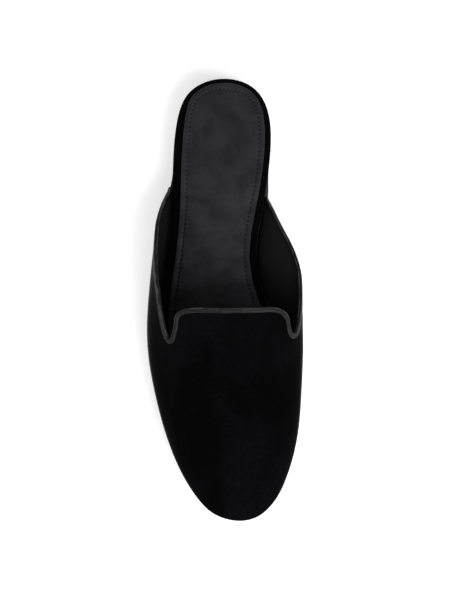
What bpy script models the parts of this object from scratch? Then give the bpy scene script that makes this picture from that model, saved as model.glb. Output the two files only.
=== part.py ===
"""Velvet mule for the right foot: a smoking-slipper vamp with a square tab, open behind.

The shoe stands on its sole. The heel is at +Y, the toe at -Y, the inner side of the foot at +X
and +Z is up. The origin is on the floor, under the middle of the shoe. Sizes are in metres.
Tables give stations as shares of LENGTH from the heel back, and breadths as shares of BALL_WIDTH
from the lengthwise middle line, with the outer side of the foot negative.
"""

import math

import bmesh
import bpy
import numpy as np
from mathutils.geometry import delaunay_2d_cdt

MM = 0.001

# Driving sizes of the last
LENGTH = 290 * MM
BALL_WIDTH = 102.4 * MM
INSTEP_HEIGHT = 66 * MM
HEEL_HEIGHT = 16 * MM
TOE_SPRING = 10 * MM

# Stock thicknesses and clearances
OUTSOLE_THICKNESS = 4.5 * MM
TOP_LIFT_THICKNESS = 5 * MM
FOOTBED_THICKNESS = 5.5 * MM
SOCK_THICKNESS = 1.4 * MM
SOCK_CROWN = 0.6 * MM
WALL = 2 * MM
BINDING_WIDTH = 2.5 * MM
BINDING_PROUD = 0.35 * MM
GAP = 0.3 * MM

# Edges of the plates
FOOTBED_ROUND = 1.6 * MM
OUTSOLE_ROUND = 0.8 * MM
SOCK_BEVEL = 0.5 * MM
LIFT_ROUND = 0.6 * MM
HEEL_TAPER = 1.6 * MM
HEEL_INSET = 0.4 * MM
BREAST_BOW = 4 * MM

# How far the outsole's edge stands outside the footbed's, under the heel and under the upper
SOLE_MARGIN_HEEL = -0.4 * MM
SOLE_MARGIN_FORE = 3.2 * MM

# How far the sock's edge stands inside the footbed's
SOCK_INSET_BACK = 3 * MM
SOCK_INSET_LATERAL = 5.6 * MM
SOCK_INSET_MEDIAL = 4.2 * MM

# Stations of the sole's profile
SEAT_END = 0.19
BREAST_STATION = 0.235
TREAD_START = 0.64
TREAD_END = 0.73
MARGIN_START = 0.215
MARGIN_END = 0.275

# Spacing of the facets
RUNGS = 37
RUNG_POINTS = 5
HEEL_RUNGS = 15
SHELL_COLUMNS = 41
SHELL_ROWS = 15
SEAM_STEP = 2.6 * MM
SEAM_TURN = math.radians(24)
KEEP_OFF_SEAM = 0.5
MERGE = 0.01 * MM

LATERAL = -1
MEDIAL = 1

# Outline of the footbed, from the heel back round the outer side to the toe and home.
# Columns: station, breadth.
FOOTBED_OUTLINE = [
    (0.000, -0.014),
    (0.020, -0.194),
    (0.058, -0.280),
    (0.120, -0.320),
    (0.231, -0.336),
    (0.366, -0.361),
    (0.501, -0.414),
    (0.590, -0.430),
    (0.690, -0.393),
    (0.775, -0.332),
    (0.841, -0.271),
    (0.905, -0.190),
    (0.950, -0.095),
    (0.981, 0.096),
    (0.954, 0.250),
    (0.890, 0.347),
    (0.799, 0.409),
    (0.700, 0.436),
    (0.625, 0.421),
    (0.546, 0.332),
    (0.480, 0.238),
    (0.400, 0.197),
    (0.320, 0.224),
    (0.242, 0.266),
    (0.160, 0.294),
    (0.090, 0.290),
    (0.045, 0.245),
    (0.016, 0.165),
]
TOE_ROW = 13

# The last above the footbed, one rib a row, from behind the quarters to the toe tip.
# The girth point is where a rib stands widest, its rise is a share of the crest's height, and
# fullness is how square the arch is between girth and crest, with 2 for an ellipse.
# Columns: station, breadth, rise and fullness of the outer side, then the same of the inner.
RIBS = [
    (0.220, -0.405, 0.30, 1.95, 0.220, 0.330, 0.42, 2.05),
    (0.288, -0.425, 0.30, 1.95, 0.288, 0.392, 0.45, 2.05),
    (0.355, -0.447, 0.31, 1.95, 0.355, 0.448, 0.48, 2.10),
    (0.423, -0.469, 0.32, 1.95, 0.423, 0.478, 0.50, 2.15),
    (0.490, -0.488, 0.33, 1.95, 0.490, 0.490, 0.50, 2.20),
    (0.558, -0.500, 0.34, 2.00, 0.558, 0.499, 0.46, 2.20),
    (0.625, -0.492, 0.35, 2.05, 0.625, 0.500, 0.41, 2.20),
    (0.704, -0.454, 0.37, 2.15, 0.704, 0.491, 0.39, 2.20),
    (0.783, -0.398, 0.39, 2.25, 0.783, 0.475, 0.40, 2.30),
    (0.850, -0.332, 0.41, 2.35, 0.850, 0.441, 0.42, 2.35),
    (0.907, -0.255, 0.43, 2.40, 0.902, 0.394, 0.44, 2.40),
    (0.952, -0.169, 0.45, 2.40, 0.945, 0.337, 0.46, 2.40),
    (0.983, -0.077, 0.47, 2.40, 0.981, 0.250, 0.47, 2.40),
    (1.000, 0.096, 0.48, 2.40, 1.000, 0.096, 0.48, 2.40),
]

# The crest that each rib runs to, in the same rows. Columns: station, breadth.
CREST = [
    (0.220, 0.045),
    (0.288, 0.055),
    (0.355, 0.066),
    (0.423, 0.075),
    (0.490, 0.080),
    (0.558, 0.082),
    (0.625, 0.082),
    (0.692, 0.082),
    (0.754, 0.083),
    (0.806, 0.084),
    (0.848, 0.086),
    (0.880, 0.088),
    (0.903, 0.090),
    (0.920, 0.092),
]

# Height of the crest above the outsole. Columns: station, share of INSTEP_HEIGHT.
ROOF = [
    (0.220, 1.20),
    (0.355, 1.17),
    (0.450, 1.09),
    (0.517, 1.00),
    (0.600, 0.868),
    (0.690, 0.730),
    (0.780, 0.607),
    (0.850, 0.505),
    (0.920, 0.395),
    (1.000, 0.240),
]

# How a rib leaves the sole: 1 flares at once, and more than 1 stands upright first.
TUCK = 1.6

# The seam where the binding meets the velvet, from the crest of the tab to the sole.
# Girth is 0 at the sole, 1 at a rib's widest and 2 at its crest. Columns: station, girth.
LATERAL_SEAM = [
    (0.528, 2.00),
    (0.528, 1.89),
    (0.527, 1.79),
    (0.532, 1.72),
    (0.550, 1.688),
    (0.571, 1.678),
    (0.585, 1.666),
    (0.594, 1.648),
    (0.598, 1.622),
    (0.594, 1.596),
    (0.584, 1.573),
    (0.566, 1.546),
    (0.525, 1.49),
    (0.470, 1.40),
    (0.412, 1.265),
    (0.360, 1.08),
    (0.318, 0.79),
    (0.290, 0.53),
    (0.268, 0.24),
    (0.256, 0.00),
]
MEDIAL_SEAM = [
    (0.528, 2.00),
    (0.527, 1.84),
    (0.526, 1.73),
    (0.533, 1.64),
    (0.552, 1.60),
    (0.572, 1.585),
    (0.586, 1.53),
    (0.581, 1.45),
    (0.556, 1.33),
    (0.515, 1.16),
    (0.469, 0.99),
    (0.424, 0.84),
    (0.375, 0.67),
    (0.335, 0.50),
    (0.303, 0.33),
    (0.285, 0.15),
    (0.278, 0.00),
]

# Finish of each piece. Columns: colour, roughness.
FINISHES = {
    "velvet": ((0.004, 0.004, 0.005), 0.95),
    "binding_leather": ((0.018, 0.017, 0.018), 0.42),
    "sock_leather": ((0.030, 0.029, 0.031), 0.55),
    "sole_leather": ((0.014, 0.013, 0.013), 0.50),
    "heel_stack": ((0.012, 0.011, 0.011), 0.45),
    "rubber": ((0.010, 0.010, 0.010), 0.75),
}


class Smooth:
    """A cubic curve through table rows with even curvature, by chord length or by given knots."""

    def __init__(self, rows, knots=None, closed=False):
        self.rows = np.array(rows, float)
        if self.rows.ndim == 1:
            self.rows = self.rows[:, None]
        if closed:
            self.rows = np.vstack([self.rows, self.rows[:1]])
        if knots is None:
            steps = np.linalg.norm(np.diff(self.rows, axis=0), axis=1)
            knots = np.concatenate([[0.0], np.cumsum(steps)])
        self.knots = np.array(knots, float)
        self.bends = self._bends(closed)

    def _bends(self, closed):
        """Second derivatives at the knots: even across a closed join, none at free ends."""
        count = len(self.knots)
        h = np.diff(self.knots)
        slopes = np.diff(self.rows, axis=0) / h[:, None]
        matrix = np.zeros((count, count))
        right = np.zeros_like(self.rows)
        for i in range(1, count - 1):
            matrix[i, i - 1 : i + 2] = h[i - 1], 2 * (h[i - 1] + h[i]), h[i]
            right[i] = 6 * (slopes[i] - slopes[i - 1])
        if closed:
            matrix[0, 0], matrix[0, -1] = 1, -1
            matrix[-1, [0, 1]] = 2 * h[0], h[0]
            matrix[-1, [-2, -1]] += h[-1], 2 * h[-1]
            right[-1] = 6 * (slopes[0] - slopes[-1])
        else:
            matrix[0, 0] = matrix[-1, -1] = 1
        return np.linalg.solve(matrix, right)

    def __call__(self, at):
        """Rows of the curve at the given knot values."""
        at = np.atleast_1d(np.asarray(at, float))
        i = np.clip(np.searchsorted(self.knots, at, side="right") - 1, 0, len(self.knots) - 2)
        h = (self.knots[i + 1] - self.knots[i])[:, None]
        b = (at - self.knots[i])[:, None] / h
        a = 1 - b
        line = a * self.rows[i] + b * self.rows[i + 1]
        bend = (a**3 - a) * self.bends[i] + (b**3 - b) * self.bends[i + 1]
        return line + bend * h**2 / 6


def smooth_step(share):
    """A ramp from 0 to 1 that starts and ends level."""
    share = np.clip(share, 0, 1)
    return share * share * (3 - 2 * share)


def place(station, breadth):
    """Plan position of a table's station and breadth."""
    return np.stack([np.asarray(breadth) * BALL_WIDTH, LENGTH * (0.5 - np.asarray(station))], -1)


def station_of(plan):
    """Station of a plan position."""
    return 0.5 - plan[..., 1] / LENGTH


def tread_height(station):
    """Underside of the outsole above the floor: level seat, shank, flat tread, toe spring."""
    shank = 1 - smooth_step((station - SEAT_END) / (TREAD_START - SEAT_END))
    toe = np.clip((station - TREAD_END) / (1 - TREAD_END), 0, None)
    return HEEL_HEIGHT * shank + TOE_SPRING * toe**1.8


def sole_top(station):
    """Height at which the pieces above the outsole start."""
    return tread_height(station) + OUTSOLE_THICKNESS + GAP


def footbed_top(station):
    """Height of the footbed's upper face."""
    return sole_top(station) + FOOTBED_THICKNESS


def sides_of(curve, toe_knot, count):
    """The outer and inner halves of a closed outline, from the heel back to the toe tip."""
    pace = (1 - np.cos(np.linspace(0, math.pi, count))) / 2
    even = np.linspace(0, 1, count)
    share = 0.5 * pace + 0.5 * even
    outer = curve(share * toe_knot)
    inner = curve(curve.knots[-1] - share * (curve.knots[-1] - toe_knot))
    return place(outer[:, 0], outer[:, 1]), place(inner[:, 0], inner[:, 1])


def offset_sides(sides, distance):
    """Both halves of an outline moved outwards by a distance for each point of each half."""
    outer, inner = sides
    loop = np.vstack([outer, inner[-2:0:-1]])
    along = np.roll(loop, -1, axis=0) - np.roll(loop, 1, axis=0)
    along /= np.linalg.norm(along, axis=1)[:, None]
    outward = np.stack([along[:, 1], -along[:, 0]], -1)
    far = np.concatenate([distance(LATERAL, outer), distance(MEDIAL, inner)[-2:0:-1]])
    moved = loop + outward * far[:, None]
    inner_moved = np.vstack([moved[:1], moved[: len(outer) - 2 : -1]])
    return moved[: len(outer)], inner_moved


def grow(sides, amount):
    """Both halves of an outline moved outwards by one amount."""
    return offset_sides(sides, lambda side, plan: np.full(len(plan), amount))


def footbed_sides(count=RUNGS):
    """The two halves of the footbed's outline."""
    curve = Smooth(FOOTBED_OUTLINE, closed=True)
    return sides_of(curve, curve.knots[TOE_ROW], count)


def outsole_sides(count=RUNGS):
    """The outsole's outline: flush under the heel, and out under the upper's wall in front."""

    def margin(side, plan):
        share = smooth_step((station_of(plan) - MARGIN_START) / (MARGIN_END - MARGIN_START))
        return SOLE_MARGIN_HEEL + (SOLE_MARGIN_FORE - SOLE_MARGIN_HEEL) * share

    return offset_sides(footbed_sides(count), margin)


def sock_sides():
    """The sock's outline, narrow at the back and wider along both sides."""

    def margin(side, plan):
        along = SOCK_INSET_LATERAL if side == LATERAL else SOCK_INSET_MEDIAL
        share = smooth_step(station_of(plan) / 0.12)
        return -(SOCK_INSET_BACK + (along - SOCK_INSET_BACK) * share)

    return offset_sides(footbed_sides(), margin)


def cut_sides(sides, station, count):
    """Both halves of an outline from the heel back as far as a station."""
    halves = []
    for half in sides:
        stations = station_of(half)
        ahead = int(np.argmax(stations > station))
        share = (station - stations[ahead - 1]) / (stations[ahead] - stations[ahead - 1])
        last = half[ahead - 1] + (half[ahead] - half[ahead - 1]) * share
        kept = np.vstack([half[:ahead], last])
        steps = np.linalg.norm(np.diff(kept, axis=0), axis=1)
        knots = np.concatenate([[0.0], np.cumsum(steps)])
        halves.append(Smooth(kept, knots)(np.linspace(0, knots[-1], count)))
    return halves[0], halves[1]


def level(sides, height, crown=0.0, bow=0.0):
    """One level of a plate: rungs from the outer to the inner side, at a height for each point."""
    share = np.linspace(0, 1, RUNG_POINTS)
    outer, inner = sides
    plan = outer[:, None] + (inner - outer)[:, None] * share[None, :, None]
    arch = 1 - (2 * share - 1) ** 2
    reach = np.linspace(0, 1, len(outer))[:, None] ** 2
    plan[..., 1] += bow * arch[None] * reach
    breadth = np.linalg.norm(inner - outer, axis=1)
    fade = smooth_step(breadth / (0.4 * BALL_WIDTH))[:, None]
    tall = height(station_of(plan)) + crown * arch[None] * fade
    return np.dstack([plan, tall])


def rim_of(rungs, points):
    """Grid places round the border of a level."""
    down = [(j, 0) for j in range(rungs)]
    across = [(rungs - 1, m) for m in range(1, points)]
    up = [(j, points - 1) for j in range(rungs - 2, -1, -1)]
    back = [(0, m) for m in range(points - 2, 0, -1)]
    return down + across + up + back


def plate(name, levels, finish):
    """A closed plate lofted through levels from its underside to its top."""
    rungs, points = levels[0].shape[:2]
    mesh = bmesh.new()
    grids = [[[mesh.verts.new(p) for p in rung] for rung in tier] for tier in levels]
    rim = rim_of(rungs, points)
    for lower, upper in zip(grids, grids[1:]):
        for (j, m), (k, n) in zip(rim, rim[1:] + rim[:1]):
            mesh.faces.new((lower[j][m], lower[k][n], upper[k][n], upper[j][m]))
    for grid, flip in ((grids[0], True), (grids[-1], False)):
        for j in range(rungs - 1):
            for m in range(points - 1):
                corners = [grid[j][m], grid[j + 1][m], grid[j + 1][m + 1], grid[j][m + 1]]
                mesh.faces.new(corners[::-1] if flip else corners)
    loose = [v for grid in grids[1:-1] for rung in grid for v in rung if not v.link_faces]
    bmesh.ops.delete(mesh, geom=loose, context="VERTS")
    return finished(name, mesh, finish)


def finished(name, mesh, finish):
    """The object of a bmesh, merged, facing out, smooth where it is round, with its finish."""
    bmesh.ops.remove_doubles(mesh, verts=mesh.verts, dist=MERGE)
    bmesh.ops.recalc_face_normals(mesh, faces=mesh.faces)
    data = bpy.data.meshes.new(name)
    mesh.to_mesh(data)
    mesh.free()
    data.shade_smooth()
    data.set_sharp_from_angle(angle=math.radians(35))
    thing = bpy.data.objects.new(name, data)
    bpy.context.scene.collection.objects.link(thing)
    data.materials.append(finish)
    return thing


def make_finishes():
    """One material for each finish."""
    made = {}
    for name, (colour, roughness) in FINISHES.items():
        material = bpy.data.materials.new(name)
        material.use_nodes = True
        shader = material.node_tree.nodes["Principled BSDF"]
        shader.inputs["Base Color"].default_value = (*colour, 1)
        shader.inputs["Roughness"].default_value = roughness
        shader.inputs["Metallic"].default_value = 0
        made[name] = material
    return made


def make_outsole(finish):
    """The leather outsole, with its arch, toe spring and softened edges."""
    sides = outsole_sides()
    inner = grow(sides, -OUTSOLE_ROUND)
    top_round = OUTSOLE_ROUND / 2
    levels = [
        level(inner, tread_height),
        level(sides, lambda s: tread_height(s) + OUTSOLE_ROUND),
        level(sides, lambda s: tread_height(s) + OUTSOLE_THICKNESS - top_round),
        level(grow(sides, -top_round), lambda s: tread_height(s) + OUTSOLE_THICKNESS),
    ]
    return plate("outsole", levels, finish)


def heel_sides(inset):
    """The heel's outline, under the outsole as far as the breast."""
    return cut_sides(grow(outsole_sides(3 * RUNGS), -inset), BREAST_STATION, HEEL_RUNGS)


def make_heel(finish):
    """The stacked heel block, which tapers a little towards the floor."""
    low = TOP_LIFT_THICKNESS + GAP
    levels = [
        level(heel_sides(HEEL_INSET + HEEL_TAPER), lambda s: np.full(s.shape, low), bow=BREAST_BOW),
        level(heel_sides(HEEL_INSET), lambda s: tread_height(s) - GAP, bow=BREAST_BOW),
    ]
    return plate("heel", levels, finish)


def make_top_lift(finish):
    """The rubber lift, flat on the floor."""
    outer = heel_sides(HEEL_INSET + HEEL_TAPER)
    inner = heel_sides(HEEL_INSET + HEEL_TAPER + LIFT_ROUND)
    heights = [0, LIFT_ROUND, TOP_LIFT_THICKNESS]
    levels = [
        level(sides, lambda s, z=z: np.full(s.shape, z), bow=BREAST_BOW)
        for sides, z in zip((inner, outer, outer), heights)
    ]
    return plate("top_lift", levels, finish)


def make_footbed(finish):
    """The velvet-wrapped platform, with a rolled upper edge."""
    sides = footbed_sides()
    levels = [
        level(grow(sides, -FOOTBED_ROUND / 2), sole_top),
        level(sides, lambda s: sole_top(s) + FOOTBED_ROUND / 2),
    ]
    for degrees in (0, 30, 60, 90):
        angle = math.radians(degrees)
        back = FOOTBED_ROUND * (1 - math.cos(angle))
        drop = FOOTBED_ROUND * (1 - math.sin(angle))
        levels.append(level(grow(sides, -back), lambda s, d=drop: footbed_top(s) - d))
    return plate("footbed", levels, finish)


def make_sock(finish):
    """The leather sock, slightly crowned towards the middle."""
    sides = sock_sides()
    levels = [
        level(sides, lambda s: footbed_top(s) + GAP),
        level(sides, lambda s: footbed_top(s) + GAP + SOCK_THICKNESS - SOCK_BEVEL),
        level(
            grow(sides, -SOCK_BEVEL),
            lambda s: footbed_top(s) + GAP + SOCK_THICKNESS,
            crown=SOCK_CROWN,
        ),
    ]
    return plate("sock", levels, finish)


class Last:
    """The form of the upper's outer face, by rib and girth, on the two sides of the foot."""

    def __init__(self):
        table = np.array(RIBS, float)
        outer, inner = table[:, :4], table[:, 4:]
        steps = [
            np.linalg.norm(np.diff(place(side[:, 0], side[:, 1]), axis=0), axis=1)
            for side in (outer, inner)
        ]
        from_rear = np.concatenate([[0.0], np.cumsum((steps[0] + steps[1]) / 2)])
        self.reach = from_rear[-1]
        from_tip = self.reach - from_rear
        round_toe = np.concatenate([-from_tip, from_tip[-2::-1]])
        self.girth_line = Smooth(np.vstack([outer, inner[-2::-1]]), round_toe)
        self.crest_line = Smooth(CREST[::-1], from_tip[::-1])
        roof = np.array(ROOF, float)
        self.roof_line = Smooth(roof[:, 1], roof[:, 0])
        outer_half, inner_half = grow(footbed_sides(6 * RUNGS), WALL + GAP + BINDING_PROUD)
        self.base = np.vstack([outer_half, inner_half[::-1]])

    def roof(self, station):
        """Height of the crest at a station."""
        share = self.roof_line(np.clip(station, ROOF[0][0], ROOF[-1][0]))[:, 0]
        return sole_top(station) + INSTEP_HEIGHT * share

    def foot_of(self, crest, girth):
        """Plan position where the rib from crest to girth stands on the base line."""
        rel = self.base[None] - crest[:, None]
        away = (girth - crest)[:, None]
        turn = away[..., 0] * rel[..., 1] - away[..., 1] * rel[..., 0]
        ahead = (rel * away).sum(2) > 0
        crossing = (turn[:, :-1] * turn[:, 1:] <= 0) & ahead[:, :-1] & ahead[:, 1:]
        i = crossing.argmax(1)
        each = np.arange(len(i))
        before, after = turn[each, i], turn[each, i + 1]
        share = before / np.where(before == after, 1, before - after)
        return self.base[i] + (self.base[i + 1] - self.base[i]) * share[:, None]

    def skin(self, side, rib, girth):
        """Points of the outer face. Rib is the distance from the toe tip along the girth line."""
        rib, girth = np.broadcast_arrays(np.asarray(rib, float), np.asarray(girth, float))
        station, breadth, rise, fullness = self.girth_line(side * rib).T
        wide = place(station, breadth)
        top = self.crest_line(rib)
        crest = place(top[:, 0], top[:, 1])
        foot = self.foot_of(crest, wide)
        floor = sole_top(station_of(foot))
        waist = floor + rise * (self.roof(top[:, 0]) - floor)

        low = np.clip(girth, 0, 1)
        flare = 1 - (1 - low**TUCK) ** 2
        lower_plan = foot + (wide - foot) * flare[:, None]
        lower_tall = floor + (waist - floor) * low

        over = np.clip(girth - 1, 0, 1)
        pace = rise / (1 - rise) * 2 / math.pi
        angle = (pace * over + (1 - pace) * over**2) * math.pi / 2
        cosine, sine = np.cos(angle), np.sin(angle)
        arch = (np.abs(cosine) ** fullness + sine**fullness) ** (-1 / fullness)
        upper_plan = crest + (wide - crest) * (cosine * arch)[:, None]
        upper_roof = self.roof(station_of(upper_plan))
        upper_tall = waist + (upper_roof - waist) * sine * arch

        below = girth <= 1
        plan = np.where(below[:, None], lower_plan, upper_plan)
        return np.column_stack([plan, np.where(below, lower_tall, upper_tall)])

    def slope(self, side, rib, girth):
        """Unit normals of the outer face, from one side alone."""
        small = 0.5 * MM
        ahead = np.clip(rib - small, 0, self.reach)
        behind = np.clip(rib + small, 0, self.reach)
        along = self.skin(side, behind, girth) - self.skin(side, ahead, girth)
        up, down = np.clip(girth + 0.02, 0, 2), np.clip(girth - 0.02, 0, 2)
        across = self.skin(side, rib, up) - self.skin(side, rib, down)
        normal = np.cross(along, across) * side
        return normal / np.linalg.norm(normal, axis=1)[:, None]

    def outward(self, side, rib, girth):
        """Unit normals of the outer face, shared by both sides where they meet."""
        normal = self.slope(side, rib, girth)
        shared = (girth > 2 - 1e-6) | (rib < 1e-9)
        if shared.any():
            normal[shared] += self.slope(-side, rib[shared], girth[shared])
        return normal / np.linalg.norm(normal, axis=1)[:, None]

    def rib_at(self, side, station):
        """The rib whose girth point stands at a station."""
        ribs = np.linspace(0, self.reach, 400)
        stations = self.girth_line(side * ribs)[:, 0]
        return np.interp(-np.asarray(station, float), -stations, ribs)

    def seam(self, side):
        """Places (rib, girth) along the binding's seam, from the tab's crest down to the sole."""
        table = np.array(LATERAL_SEAM if side == LATERAL else MEDIAL_SEAM, float)
        ribs = self.rib_at(side, table[:, 0])
        ribs[0] = (self.rib_at(LATERAL, table[0, 0]) + self.rib_at(MEDIAL, table[0, 0])) / 2
        scaled = np.column_stack([ribs, table[:, 1] * INSTEP_HEIGHT / 2])
        curve = Smooth(scaled)
        fine = curve(np.linspace(0, curve.knots[-1], 500))
        fine[:, 1] = np.clip(fine[:, 1] / (INSTEP_HEIGHT / 2), 0, 2)
        points = self.skin(side, fine[:, 0], fine[:, 1])
        steps = np.diff(points, axis=0)
        lengths = np.linalg.norm(steps, axis=1)
        units = steps / lengths[:, None]
        turns = np.arccos(np.clip((units[1:] * units[:-1]).sum(1), -1, 1))
        effort = lengths / SEAM_STEP + np.concatenate([[0], turns / SEAM_TURN])
        travelled = np.concatenate([[0.0], np.cumsum(effort)])
        count = max(2, round(travelled[-1]))
        wanted = np.linspace(0, travelled[-1], count + 1)
        return np.column_stack([np.interp(wanted, travelled, fine[:, k]) for k in (0, 1)])


def inside(points, border):
    """Which of the points lie inside a closed border."""
    x, y = points[:, 0][:, None], points[:, 1][:, None]
    x0, y0 = border[:, 0][None], border[:, 1][None]
    x1, y1 = np.roll(border[:, 0], -1)[None], np.roll(border[:, 1], -1)[None]
    spans = (y0 > y) != (y1 > y)
    run = np.where(y1 == y0, 1, y1 - y0)
    left = x < (x1 - x0) * (y - y0) / run + x0
    return (spans & left).sum(1) % 2 == 1


def clear_of(points, line, distance):
    """Which of the points keep a distance from every point of a line."""
    apart = np.linalg.norm(points[:, None] - line[None], axis=2)
    return apart.min(1) > distance


def half_shell(last, side):
    """Ribs, girths and triangles of the outer face on one side, bordered by the seam."""
    seam = last.seam(side)
    tall = INSTEP_HEIGHT / 2
    columns = np.linspace(0, last.reach, SHELL_COLUMNS)
    rows = np.linspace(0, 2, SHELL_ROWS)
    rear, tab = seam[-1, 0], seam[0, 0]
    foot_line = [(r, 0) for r in columns[::-1] if 0 < r < rear - KEEP_OFF_SEAM * columns[1]]
    toe_line = [(0, g) for g in rows]
    crest_line = [(r, 2) for r in columns if 0 < r < tab - KEEP_OFF_SEAM * columns[1]]
    border = np.array([*seam, *foot_line, *toe_line, *crest_line])
    border[:, 1] *= tall
    grid = np.array([(r, g * tall) for r in columns[1:-1] for g in rows[1:-1]])
    grid = grid[inside(grid, border)]
    scaled_seam = seam * (1, tall)
    grid = grid[clear_of(grid, scaled_seam, KEEP_OFF_SEAM * columns[1])]
    count = len(border)
    edges = [(i, (i + 1) % count) for i in range(count)]
    flat = [tuple(map(float, p)) for p in np.vstack([border, grid])]
    points, _, faces, *_ = delaunay_2d_cdt(flat, edges, [], 1, 1e-9)
    places = np.array([tuple(p) for p in points])
    return places[:, 0], np.clip(places[:, 1] / tall, 0, 2), faces


def make_upper(last, finish):
    """The hollow upper: one velvet wall, open behind, under the foot and at the throat."""
    mesh = bmesh.new()
    for side in (LATERAL, MEDIAL):
        ribs, girths, faces = half_shell(last, side)
        points, normals = last.skin(side, ribs, girths), last.outward(side, ribs, girths)
        outer = [mesh.verts.new(p) for p in points]
        inner = [mesh.verts.new(p - n * WALL) for p, n in zip(points, normals)]
        uses = {}
        for face in faces:
            turned = face if side == LATERAL else face[::-1]
            mesh.faces.new([outer[i] for i in turned])
            mesh.faces.new([inner[i] for i in turned[::-1]])
            for pair in zip(turned, turned[1:] + turned[:1]):
                uses[frozenset(pair)] = None if frozenset(pair) in uses else pair
        for i, j in filter(None, uses.values()):
            crest = min(girths[i], girths[j]) > 2 - 1e-6
            toe = max(ribs[i], ribs[j]) < 1e-9
            if not crest and not toe:
                mesh.faces.new((outer[j], outer[i], inner[i], inner[j]))
    return finished("upper", mesh, finish)


def binding_section():
    """The binding's cross-section: outwards from the seam, and up from the velvet's face."""
    proud, far = BINDING_PROUD, GAP + BINDING_WIDTH
    corner = BINDING_WIDTH / 3
    return [
        (GAP, proud / 2),
        (GAP + corner / 2, proud),
        (far - corner, proud),
        (far, -WALL / 4),
        (far, -WALL * 3 / 4),
        (far - corner, -WALL - proud),
        (GAP + corner / 2, -WALL - proud),
        (GAP, -WALL - proud / 2),
    ]


def make_binding(last, finish):
    """The rolled leather edge, in one run from sole to sole by way of the tab."""
    outer, inner = last.seam(LATERAL), last.seam(MEDIAL)
    points = np.vstack(
        [
            last.skin(LATERAL, *outer[::-1].T),
            last.skin(MEDIAL, *inner[1:].T),
        ]
    )
    normals = np.vstack(
        [
            last.outward(LATERAL, *outer[::-1].T),
            last.outward(MEDIAL, *inner[1:].T),
        ]
    )
    along = np.gradient(points, axis=0)
    along /= np.linalg.norm(along, axis=1)[:, None]
    away = np.cross(normals, along)
    away /= np.linalg.norm(away, axis=1)[:, None]
    rings = np.array(
        [points + away * out + normals * up for out, up in binding_section()]
    ).transpose(1, 0, 2)
    for end in (0, -1):
        floor = sole_top(station_of(rings[end]))
        slide = (floor - rings[end][:, 2]) / along[end][2]
        rings[end] += along[end] * slide[:, None]
    mesh = bmesh.new()
    loops = [[mesh.verts.new(p) for p in ring] for ring in rings]
    for first, second in zip(loops, loops[1:]):
        for m in range(len(first)):
            n = (m + 1) % len(first)
            mesh.faces.new((first[m], first[n], second[n], second[m]))
    mesh.faces.new(loops[0][::-1])
    mesh.faces.new(loops[-1])
    return finished("binding", mesh, finish)


def main():
    """Clears the scene and builds the shoe from the floor up."""
    for thing in list(bpy.data.objects):
        bpy.data.objects.remove(thing)
    finishes = make_finishes()
    make_top_lift(finishes["rubber"])
    make_heel(finishes["heel_stack"])
    make_outsole(finishes["sole_leather"])
    make_footbed(finishes["velvet"])
    make_sock(finishes["sock_leather"])
    last = Last()
    make_upper(last, finishes["velvet"])
    make_binding(last, finishes["binding_leather"])


main()
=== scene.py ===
"""Dresses the velvet mule: pile, rolled edge, stitched sock, soles and stacked heel, in a pale studio."""

import logging
import math
from collections import Counter
from collections.abc import Iterable, Sequence
from dataclasses import dataclass, field
from enum import Enum

import bmesh
import bpy
import numpy as np
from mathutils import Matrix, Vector
from mathutils.bvhtree import BVHTree
from mathutils.kdtree import KDTree


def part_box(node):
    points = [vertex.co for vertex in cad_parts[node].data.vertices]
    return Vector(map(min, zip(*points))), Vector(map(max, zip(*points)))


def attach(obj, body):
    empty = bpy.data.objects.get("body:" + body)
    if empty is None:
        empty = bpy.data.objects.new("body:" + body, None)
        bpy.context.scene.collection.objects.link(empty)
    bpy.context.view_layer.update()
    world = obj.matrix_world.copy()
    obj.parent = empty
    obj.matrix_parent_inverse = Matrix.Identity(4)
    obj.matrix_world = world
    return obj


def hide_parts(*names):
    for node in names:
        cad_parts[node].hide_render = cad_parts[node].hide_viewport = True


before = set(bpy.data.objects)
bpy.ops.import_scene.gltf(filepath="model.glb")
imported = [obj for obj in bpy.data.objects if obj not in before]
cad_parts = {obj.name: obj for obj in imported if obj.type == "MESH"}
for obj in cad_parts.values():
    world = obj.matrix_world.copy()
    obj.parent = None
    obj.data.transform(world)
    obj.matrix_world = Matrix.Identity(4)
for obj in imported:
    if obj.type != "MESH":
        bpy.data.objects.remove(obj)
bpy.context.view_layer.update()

MM = 0.001
LOG = logging.getLogger("mule")
Colour = tuple[float, float, float]
Mesh = bpy.types.Object
Faces = list[tuple[int, ...]]

# The masks that pieces hold for their materials: wear, which on the binding also carries painted highlights
# along its ridges, and painted shade in needle holes and the binding's groove; and how far a leather cell
# strays from its place.
WEAR_AND_HIGHLIGHT_LAYER = "wear"
PAINTED_SHADE_LAYER = "holes"
GRAIN_STRAY = 0.9 * MM

WHITE = (1.0, 1.0, 1.0, 1.0)

# The least size of a face normal's Z for the face to count as level.
LEVEL = 0.9


class Body(Enum):
    """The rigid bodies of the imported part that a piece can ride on."""

    SHOE = "root"


class Slot(Enum):
    """The record's material slots."""

    RUBBER = "rubber"
    HEEL = "heel_stack"
    SOLE = "sole_leather"
    VELVET = "velvet"
    SOCK = "sock_leather"
    BINDING = "binding_leather"


# Node trees


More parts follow.
